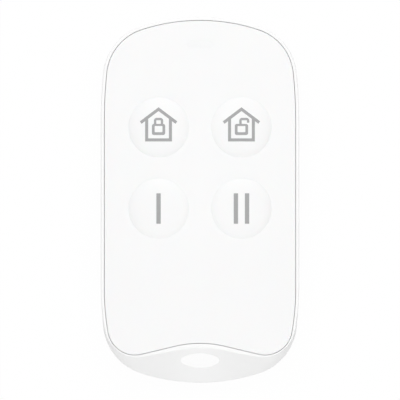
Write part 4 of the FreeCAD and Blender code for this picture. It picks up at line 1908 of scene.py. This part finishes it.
@dataclass
class CoinCell(Assembly):
    """Coin cell: drawn can with its crimped rim, sealing ring and pressed cap."""

    foot_z: float = 1.65
    rim_z: float = 4.5
    top_z: float = 4.85
    radius: float = 10.0
    foot_edge: float = 0.5
    crimp: float = 0.3
    rim_inner: float = 8.8
    rim_slope: float = 0.05
    cap_radius: float = 8.4
    cap_edge: float = 0.28
    cap_step: float = 0.2
    cap_neck: Point2 = (0.03, 0.06)
    ring_top: float = 4.58
    ring_gap: float = 0.01
    ring_chamfer: float = 0.04
    ring_taper: Point2 = (0.05, 0.03)
    sink: float = 0.07
    gap: float = 0.005
    steps: int = 6

    def rounded(self, x: float, z: float, radius: float, start: float) -> Line:
        """Returns the points of a quarter round about a centre, turning from a start angle."""
        return Arc((x, z), radius, start, start + QUARTER).points(self.steps)

    def build(self) -> None:
        """Builds the can, the cap and the sealing ring."""
        floor_z, rim_z = self.rim_z - self.sink, self.rim_z
        seat_z, edge, crimp = floor_z + self.gap, self.foot_edge, self.crimp
        can = [
            (0.0, self.foot_z), *self.rounded(self.radius - edge, self.foot_z + edge, edge, -QUARTER),
            *self.rounded(self.radius - crimp, rim_z - crimp, crimp, 0.0),
            (self.rim_inner, rim_z), (self.rim_inner - self.rim_slope, floor_z), (0.0, floor_z),
        ]
        cap_in, edge = self.cap_radius - self.cap_step, self.cap_edge
        out, rise = self.cap_neck
        cap = [
            (0.0, seat_z), (self.cap_radius, seat_z), (self.cap_radius, rim_z), (cap_in + out, rim_z + rise),
            *self.rounded(cap_in - edge, self.top_z - edge, edge, 0.0), (0.0, self.top_z),
        ]
        inner, outer, top = self.cap_radius + self.ring_gap, self.rim_inner - self.ring_gap, self.ring_top
        (out, rise), chamfer = self.ring_taper, self.ring_chamfer
        ring = [
            (inner, seat_z), (outer - out, seat_z), (outer, top - rise), (outer - out, top),
            (inner + chamfer, top), (inner, top - chamfer), (inner, seat_z),
        ]
        for name, profile, finish, nodes in (
            ("cell_drawn_can", can, Finish.CELL_STEEL, ["cell_can"]),
            ("cell_pressed_cap", cap, Finish.CELL_STEEL, ["cell_cap"]),
            ("cell_sealing_ring", ring, Finish.SWITCH_PLASTIC, []),
        ):
            shell = Shell()
            self.workshop.turned.turn(shell, profile, (0.0, self.form.cell_y), finish)
            self.workshop.piece(name, shell, finish, nodes)


@dataclass
class CellSprings(Assembly):
    """Bridge clip under the coin cell and the fingered contact over it, both bent from strip."""

    clip_z: float = 1.4
    clip_thickness: float = 0.25
    clip_leg_x: float = 10.3
    clip_foot: float = 1.6
    clip_width: float = 6.0
    clip_bend: float = 0.35
    slit_length: float = 11.0
    slit_width: float = 0.5
    slit_y: float = 1.0
    contact_thickness: float = 0.15
    contact_pad: float = 1.0
    contact_finger: float = 2.6
    contact_width: float = 4.0
    contact_drop: float = 0.35
    contact_bend: float = 0.2
    fork_width: float = 0.9
    fork_root: float = 0.3
    tip_length: float = 0.5
    tip_rise: float = 0.12

    def clip(self) -> Shell:
        """Bends the clip.

        Returns:
            The clip.
        """
        half, middle_y = self.clip_thickness / 2, self.form.cell_y
        leg = self.clip_leg_x + half
        foot_z = self.form.board_z - half
        right = [(leg, self.clip_z + half), (leg, foot_z), (self.clip_leg_x + self.clip_foot, foot_z)]
        track = Track.folded(right, self.clip_bend)
        middle, slit, edge = track.table()[-1, 0] / 2, self.slit_width / 2, self.clip_width / 2
        ends = (middle - self.slit_length / 2, middle + self.slit_length / 2)
        rows = [-edge, *(side * self.slit_y + d for side in (-1, 1) for d in (-slit, slit)), edge]
        return Shell().bent(
            track, self.clip_thickness, [middle_y + row for row in rows], ends,
            lambda along, y: not (ends[0] < along < ends[1] and abs(abs(y - middle_y) - self.slit_y) < slit),
        )

    def contact(self) -> Shell:
        """Bends the contact, each of whose fingers is forked and turned up at its tip.

        Returns:
            The contact.
        """
        top, middle_y = self.form.board_z - self.contact_thickness / 2, self.form.cell_y
        low, reach = top - self.contact_drop, self.contact_pad + self.contact_finger
        right = [(self.contact_pad, top), (reach - self.tip_length, low), (reach, low + self.tip_rise)]
        track = Track.folded(right, self.contact_bend, 3)
        middle, fork, edge = track.table()[-1, 0] / 2, self.fork_width / 2, self.contact_width / 2
        root = (middle - self.contact_pad - self.fork_root, middle + self.contact_pad + self.fork_root)
        return Shell().bent(
            track, self.contact_thickness, [middle_y + row for row in (-edge, -fork, fork, edge)], root,
            lambda along, y: root[0] < along < root[1] or abs(y - middle_y) > fork,
        )

    def build(self) -> None:
        """Builds the clip and the contact."""
        steel = Finish.SPRING_STEEL
        self.workshop.piece("cell_bridge_clip", self.clip(), steel, ["battery_clip"])
        self.workshop.piece("cell_finger_contact", self.contact(), steel, ["battery_contact"])


@dataclass
class Switches(Assembly):
    """Four tactile switches: tray with pegs, pressed cover, gull-wing leads, sprung dome and stem."""

    side: float = 5.2
    corner: float = 0.2
    base_z: float = 7.45
    base_edge: float = 0.08
    cover_z: float = 7.65
    cover_edge: float = 0.05
    mouth_edge: float = 0.04
    floor_z: float = 6.65
    wall: float = 0.6
    mouth: float = 1.96
    peg_radius: float = 0.32
    peg_inset: float = 0.55
    peg_rise: float = 0.1
    gap: float = 0.002
    dome_top: float = 7.1
    dome_thickness: float = 0.1
    dome_span: float = 3.6
    dome_flat: float = 1.4
    dome_leg: float = 1.2
    dome_step: float = 0.15
    dome_spacing: float = 0.16
    dome_keep: float = 0.222
    stem_side: float = 1.8
    stem_flange: float = 2.7
    stem_gap: float = 0.01
    stem_top: float = 8.25
    stem_edge: float = 0.14
    lead_thickness: float = 0.2
    lead_width: float = 0.6
    lead_length: float = 0.7
    lead_rise: float = 0.35
    lead_root: float = 0.1
    lead_bend: Point2 = (0.22, 0.34)

    def leg_height(self, x: float, y: float) -> float:
        """Finds how high the top of a sprung dome stands.

        Args:
            x: Place across, from its middle.
            y: Place along, from its middle.

        Returns:
            The height.
        """
        out = (max(abs(x), abs(y)) - self.dome_flat / 2) / ((self.dome_span - self.dome_flat) / 2)
        share = min(max(out, 0.0), 1.0)
        drop = self.dome_top - self.floor_z - self.dome_thickness
        return self.dome_top - drop * share * share * (3 - 2 * share)

    def dome(self, x: float, y: float) -> Shell:
        """Presses one sprung dome.

        Args:
            x: Its middle across.
            y: Its middle along.

        Returns:
            The dome.
        """
        foot, leg, shell = self.dome_span / 2, self.dome_leg / 2, Shell()
        cross = quartered([(foot, -leg), (foot, leg), (leg, leg)])
        loop = [(x + a, y + b) for a, b in divided(cross, self.dome_step)]
        faces = (0.0, -self.dome_thickness)
        shell.layer([loop], lambda a, b: self.leg_height(a - x, b - y), faces, self.dome_spacing)
        return shell

    def lead(self) -> Shell:
        """Bends one lead, from the tray's side down to the board.

        Returns:
            Lead, from the foot of the tray's side.
        """
        half, width, (near, far) = self.lead_thickness / 2, self.lead_width / 2, self.lead_bend
        root, rise = self.lead_root, self.lead_rise
        track = Track(((-root, rise), (near, rise), (far, half), (self.lead_length, half)), root, 3)
        return Shell().bent(track, self.lead_thickness, (-width, width))

    def build_cases(self) -> None:
        """Builds the trays, with the pegs that hold the covers, and the covers."""
        low, base, cover, edge = self.form.board_top_z, self.base_z, self.cover_z, self.cover_edge
        reach, top, trays, covers = self.side / 2 - self.peg_inset, cover + self.peg_rise, Shell(), Shell()
        inner, foot, bevel = (self.mouth - self.side) / 2, base + self.gap, self.mouth_edge
        for x, y in self.openings.key_centres():
            loop = rounded_loop(x, y, self.side, self.side, self.corner, 3)
            trays.tower(loop, [
                (-self.base_edge, low), (0.0, low + self.base_edge), (0.0, base - edge), (-edge, base),
                (-self.wall, base), (-self.wall, self.floor_z),
            ])
            for a, b in quartered([(reach, reach)]):
                trays.tower(circle_loop(x + a, y + b, self.peg_radius, 20), [
                    (0.0, base - self.peg_rise), (0.0, top - self.base_edge), (-self.base_edge, top),
                ])
            covers.tower(loop, [
                (0.0, foot), (0.0, cover - edge), (-edge, cover), (inner + bevel, cover),
                (inner, cover - bevel), (inner, foot), (0.0, foot),
            ], capped=False)
        self.workshop.piece("switch_trays", trays, Finish.SWITCH_PLASTIC, ["switch_bases"])
        self.workshop.piece("switch_pressed_covers", covers, Finish.NICKEL_CAN, ["switch_covers"])

    def build(self) -> None:
        """Builds the switches."""
        self.build_cases()
        workshop, low, leads = self.workshop, self.form.board_top_z, self.shell
        left, right = self.openings.key_x
        pitch, solder = (right - left, self.form.lead_pitch), Finish.SOLDER_LEAD
        for y in self.openings.key_y:
            for side, quarters in ((1, 0), (-1, 2)):
                centre = ((left + right) / 2 + side * self.side / 2, y, low)
                workshop.pattern.spread(leads, self.lead(), solder, (2, 2), pitch, centre, quarters)
        workshop.piece("switch_gull_leads", leads, solder, ["switch_leads"])
        for body, (x, y) in zip(KEY_BODIES, self.openings.key_centres()):
            key, stem = body.value.removeprefix("key_"), Shell()
            shell, anchor = self.dome(x, y), (0.0, 0.0, self.floor_z * MM)
            dome = workshop.piece(f"sprung_dome_{key}", shell, Finish.SPRING_STEEL, [f"snap_dome_{key}"])
            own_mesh(dome)
            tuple(anchor)
            flange, side = self.stem_flange, self.stem_side
            stem.block(x, y, self.dome_top, flange, flange, self.base_z - self.gap, self.base_edge)
            stem.block(x, y, self.dome_top + self.stem_gap, side, side, self.stem_top, self.stem_edge)
            workshop.piece(f"plunger_{key}", stem, Finish.STEM_PLASTIC, [f"stem_{key}"], body)


@dataclass
class Board(Assembly):
    """Circuit board's dressing: its finish, printed traces, and the antenna strip round its end."""

    trace_width: float = 0.22
    trace_height: float = 0.036
    trace_sink: float = 0.006
    trace_corner: float = 0.2
    lane_gap: float = 0.5
    lane_pitch: float = 0.45
    chip_half: float = 2.5
    switch_reach: float = 2.85
    antenna_inset: float = 2.07
    antenna_thickness: float = 0.3
    antenna_height: float = 1.9
    antenna_from_y: float = 23.8

    def traces(self) -> Columns:
        """Routes traces from the chip's sides to the inner leads of the switches.

        Returns:
            The paths.
        """
        form, paths = self.form, []
        z = form.board_top_z + self.trace_height / 2 - self.trace_sink
        for cx, cy in self.openings.key_centres():
            side, up = copysign(1, cx), copysign(1, cy - form.chip_y)
            for k, lead in enumerate((-0.5, 0.5)):
                start_x, start_y = side * self.chip_half, form.chip_y + up * form.pad_pitch * (k + 1)
                end_x, end_y = cx - side * self.switch_reach, cy + lead * up * form.lead_pitch
                lane_x = side * (self.chip_half + self.lane_gap + self.lane_pitch * (1 - k))
                paths.append(lifted([
                    (start_x, start_y), (lane_x - side * self.trace_corner, start_y),
                    (lane_x, start_y + up * self.trace_corner),
                    (lane_x, end_y - up * abs(end_x - lane_x)), (end_x, end_y),
                ], z))
        return paths

    def build(self) -> None:
        """Dresses the board and builds its traces and antenna."""
        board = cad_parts["main_board"].data
        board.materials.clear()
        board.materials.append(material_of(Finish.BOARD_LAMINATE))
        LOG.info("node main_board: kept as it is, with its own finish")
        traces, antenna, strip = Shell(), Shell(), self.workshop.strip
        strip.lay(traces, self.traces(), Finish.SOLDER_LEAD, self.trace_width, self.trace_height)
        thickness, height = self.antenna_thickness, self.antenna_height
        loop = self.form.seam_loop(-self.antenna_inset - thickness / 2)
        way = (spot for spot in loop if spot[1] >= self.antenna_from_y)
        line = lifted(way, self.form.board_top_z + height / 2)
        strip.lay(antenna, [line], Finish.SPRING_STEEL, thickness, height)
        self.workshop.piece("board_traces", traces, Finish.SOLDER_LEAD)
        self.workshop.piece("antenna_band", antenna, Finish.SPRING_STEEL, ["antenna_strip"])


@dataclass(frozen=True)
class Can:
    """Lid on a ceramic base: sizes in plan, and the lid's growth and height over the board, row by row."""

    base: Point2
    base_top: float
    base_edge: float
    lid: Point2
    corner: float
    profile: tuple[Point2, ...]


@dataclass
class Electronics(Assembly):
    """Parts on the board: radio chip, crystal, status light, and rows of chip resistors."""

    chip_side: float = 5.0
    chip_top: float = 7.2
    chip_gap: float = 0.02
    chip_edge: float = 0.1
    pad_size: Point3 = (0.3, 0.5, 0.2)
    pad_count: int = 7
    crystal_y: float = 11.4
    crystal: Can = Can(
        (3.2, 2.5), 0.26, 0.05, (2.9, 2.2), 0.35,
        ((0.15, 0.25), (0.15, 0.33), (0.0, 0.36), (0.0, 0.7), (-0.03, 0.77), (-0.1, 0.8)),
    )
    light: Can = Can(
        (1.6, 0.8), 0.3, 0.04, (1.1, 0.74), 0.1, ((0.0, 0.28), (-0.02, 0.55), (-0.06, 0.65), (-0.15, 0.7))
    )
    rows: tuple[int, int] = (3, 3)
    row_pitch: Point2 = (1.6, 1.1)
    row_x: float = 4.0
    row_y: float = 18.6
    body_size: Point3 = (0.62, 0.48, 0.33)
    body_gap: float = 0.01
    body_edge: float = 0.02
    cap_size: Point3 = (0.2, 0.5, 0.35)
    cap_x: float = 0.4
    small_edge: float = 0.03

    def build(self) -> None:
        """Builds the parts."""
        low, spread = self.form.board_top_z, self.workshop.pattern.spread
        chip, pads, bodies, caps, crystal, light, bases = (Shell() for _ in range(7))
        pad, body, ends = Shell(), Shell(), Shell()
        side, pitch, edge = self.chip_side, self.form.pad_pitch, self.small_edge
        chip.block(0, self.form.chip_y, low + self.chip_gap, side, side, self.chip_top, self.chip_edge)
        pad.block(0, 0, 0, *self.pad_size, edge)
        centre = (0.0, self.form.chip_y, low)
        spread(pads, pad, Finish.SOLDER_LEAD, (self.pad_count, 2), (pitch, side), centre)
        spread(pads, pad, Finish.SOLDER_LEAD, (2, self.pad_count), (side, pitch), centre, 1)
        body.block(0, 0, self.body_gap, *self.body_size, self.body_edge)
        for end in (-1, 1):
            ends.block(end * self.cap_x, 0, 0, *self.cap_size, edge)
        for sign in (-1, 1):
            centre = (sign * self.row_x, self.row_y, low)
            spread(bodies, body, Finish.CHIP_CERAMIC, self.rows, self.row_pitch, centre)
            spread(caps, ends, Finish.SOLDER_LEAD, self.rows, self.row_pitch, centre)
        light_y = self.openings.lens_y
        for shell, y, can in ((crystal, self.crystal_y, self.crystal), (light, light_y, self.light)):
            profile = [(growth, low + z) for growth, z in can.profile]
            shell.tower(rounded_loop(0, y, *can.lid, can.corner), profile)
            bases.block(0, y, low, *can.base, low + can.base_top, can.base_edge)
        for name, shell, finish, nodes in (
            ("radio_chip_body", chip, Finish.CHIP_RESIN, ["radio_chip"]),
            ("radio_chip_pads", pads, Finish.SOLDER_LEAD, []),
            ("chip_resistor_bodies", bodies, Finish.CHIP_CERAMIC, ["board_components"]),
            ("chip_resistor_ends", caps, Finish.SOLDER_LEAD, []),
            ("crystal_can", crystal, Finish.NICKEL_CAN, ["crystal"]),
            ("carrier_bases", bases, Finish.CHIP_CERAMIC, []),
            ("status_light", light, Finish.LED_RESIN, ["status_led"]),
        ):
            self.workshop.piece(name, shell, finish, nodes)


# ---- studio


@dataclass(frozen=True)
class Lamp:
    """Square soft light that points at the fob, in metres and watts."""

    name: str
    place: Point3
    size: float
    power: float

    def hang(self) -> None:
        """Hangs the lamp."""
        data = bpy.data.lights.new(self.name, "AREA")
        data.size, data.energy = self.size, self.power
        made = linked(self.name, data)
        made.location = self.place
        made.rotation_euler = (-Vector(self.place)).to_track_quat("-Z", "Y").to_euler()
        made.visible_camera = False


@dataclass
class Studio:
    """Pale floor, soft light from above and the camera straight over the fob."""

    view_width: float = 66.4
    view_z: float = 9.0
    lens: float = 1000.0
    sensor: float = 36.0
    clip_end: float = 100.0
    floor_size: float = 6.0
    floor_z: float = -0.02
    floor_grey: float = 0.7
    floor_pale: float = 0.95
    floor_white: float = 0.97
    world_strength: float = 0.915
    overhead: Lamp = Lamp("overhead", (0.0, 0.45, 0.76), 0.6, 3.1)
    foot_fill: Lamp = Lamp("foot_fill", (0.0, -0.47, 0.1), 0.2, 0.43)

    def seen_directly(self, graph: Graph) -> Wire:
        """Wires what tells how the floor or the world is seen.

        Args:
            graph: The tree.

        Returns:
            One for the camera, a reflection or glass, and else nought.
        """
        path = graph.node("ShaderNodeLightPath").outputs
        seen = graph.math("ADD", path["Is Camera Ray"], path["Is Glossy Ray"])
        return graph.math("MINIMUM", graph.math("ADD", seen, path["Is Transmission Ray"]), 1.0)

    def world(self) -> None:
        """Makes the world: white to look at, and as a light dimmer towards the sides."""
        world = bpy.data.worlds.new("studio")
        bpy.context.scene.world = world
        world.use_nodes = True
        graph = Graph(world.node_tree)
        way = graph.node("ShaderNodeTexCoord").outputs["Generated"]
        across = graph.node("ShaderNodeSeparateXYZ", {0: way}).outputs["X"]
        dim = graph.math("MULTIPLY", across, across)
        light = graph.math("MULTIPLY", graph.math("SUBTRACT", 1.0, dim), self.world_strength)
        missing = graph.math("MULTIPLY", self.seen_directly(graph), graph.math("SUBTRACT", 1.0, light))
        feeds = {"Color": WHITE, "Strength": graph.math("ADD", light, missing)}
        graph.node("ShaderNodeOutputWorld", {"Surface": graph.node("ShaderNodeBackground", feeds)})

    def floor(self) -> None:
        """Lays the floor: grey as a reflector, white to look at, and darker where the fob shades it."""
        mesh = bpy.data.meshes.new("floor")
        corners = quartered([(self.floor_size / 2, self.floor_size / 2)])
        mesh.from_pydata(lifted(corners, self.floor_z * MM), [], [(0, 1, 2, 3)])
        floor = linked("floor", mesh)
        made = bpy.data.materials.new("floor_paper")
        made.use_nodes = True
        graph = Graph(made.node_tree)
        seen = self.seen_directly(graph)
        tone = graph.math("MULTIPLY_ADD", seen, self.floor_pale - self.floor_grey, self.floor_grey)
        paper = graph.node("ShaderNodeBsdfDiffuse", {"Color": tone})
        glow = graph.node("ShaderNodeEmission", {"Color": WHITE})
        share = graph.math("MULTIPLY", seen, self.floor_white)
        mix = graph.node("ShaderNodeMixShader", {0: share, 1: paper, 2: glow})
        graph.node("ShaderNodeOutputMaterial", {"Surface": mix})
        mesh.materials.append(made)

    def camera(self) -> None:
        """Puts the camera straight over the fob, far off with a long lens."""
        data = bpy.data.cameras.new("camera")
        data.lens, data.sensor_width, data.clip_end = self.lens, self.sensor, self.clip_end
        made = linked("camera", data)
        made.location = (0, 0, (self.view_z + self.view_width * self.lens / self.sensor) * MM)
        bpy.context.scene.camera = made

    def build(self) -> None:
        """Builds the studio."""
        bpy.context.scene.view_settings.view_transform = "Standard"
        self.world()
        self.floor()
        self.overhead.hang()
        self.foot_fill.hang()
        self.camera()
        LOG.info("studio ready")


def main() -> None:
    """Builds the studio and the fob, sub-assembly by sub-assembly."""
    logging.basicConfig(level=logging.INFO, format="%(message)s")
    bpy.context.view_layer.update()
    Studio().build()
    workshop = Workshop()
    for assembly in (
        FrontFrame, RearCover, FrontSkin, IndicatorLens, Keys, CaseScrews, CoinCell, CellSprings, Switches,
        Board, Electronics,
    ):
        assembly(workshop).build()


if __name__ == "__main__":
    main()
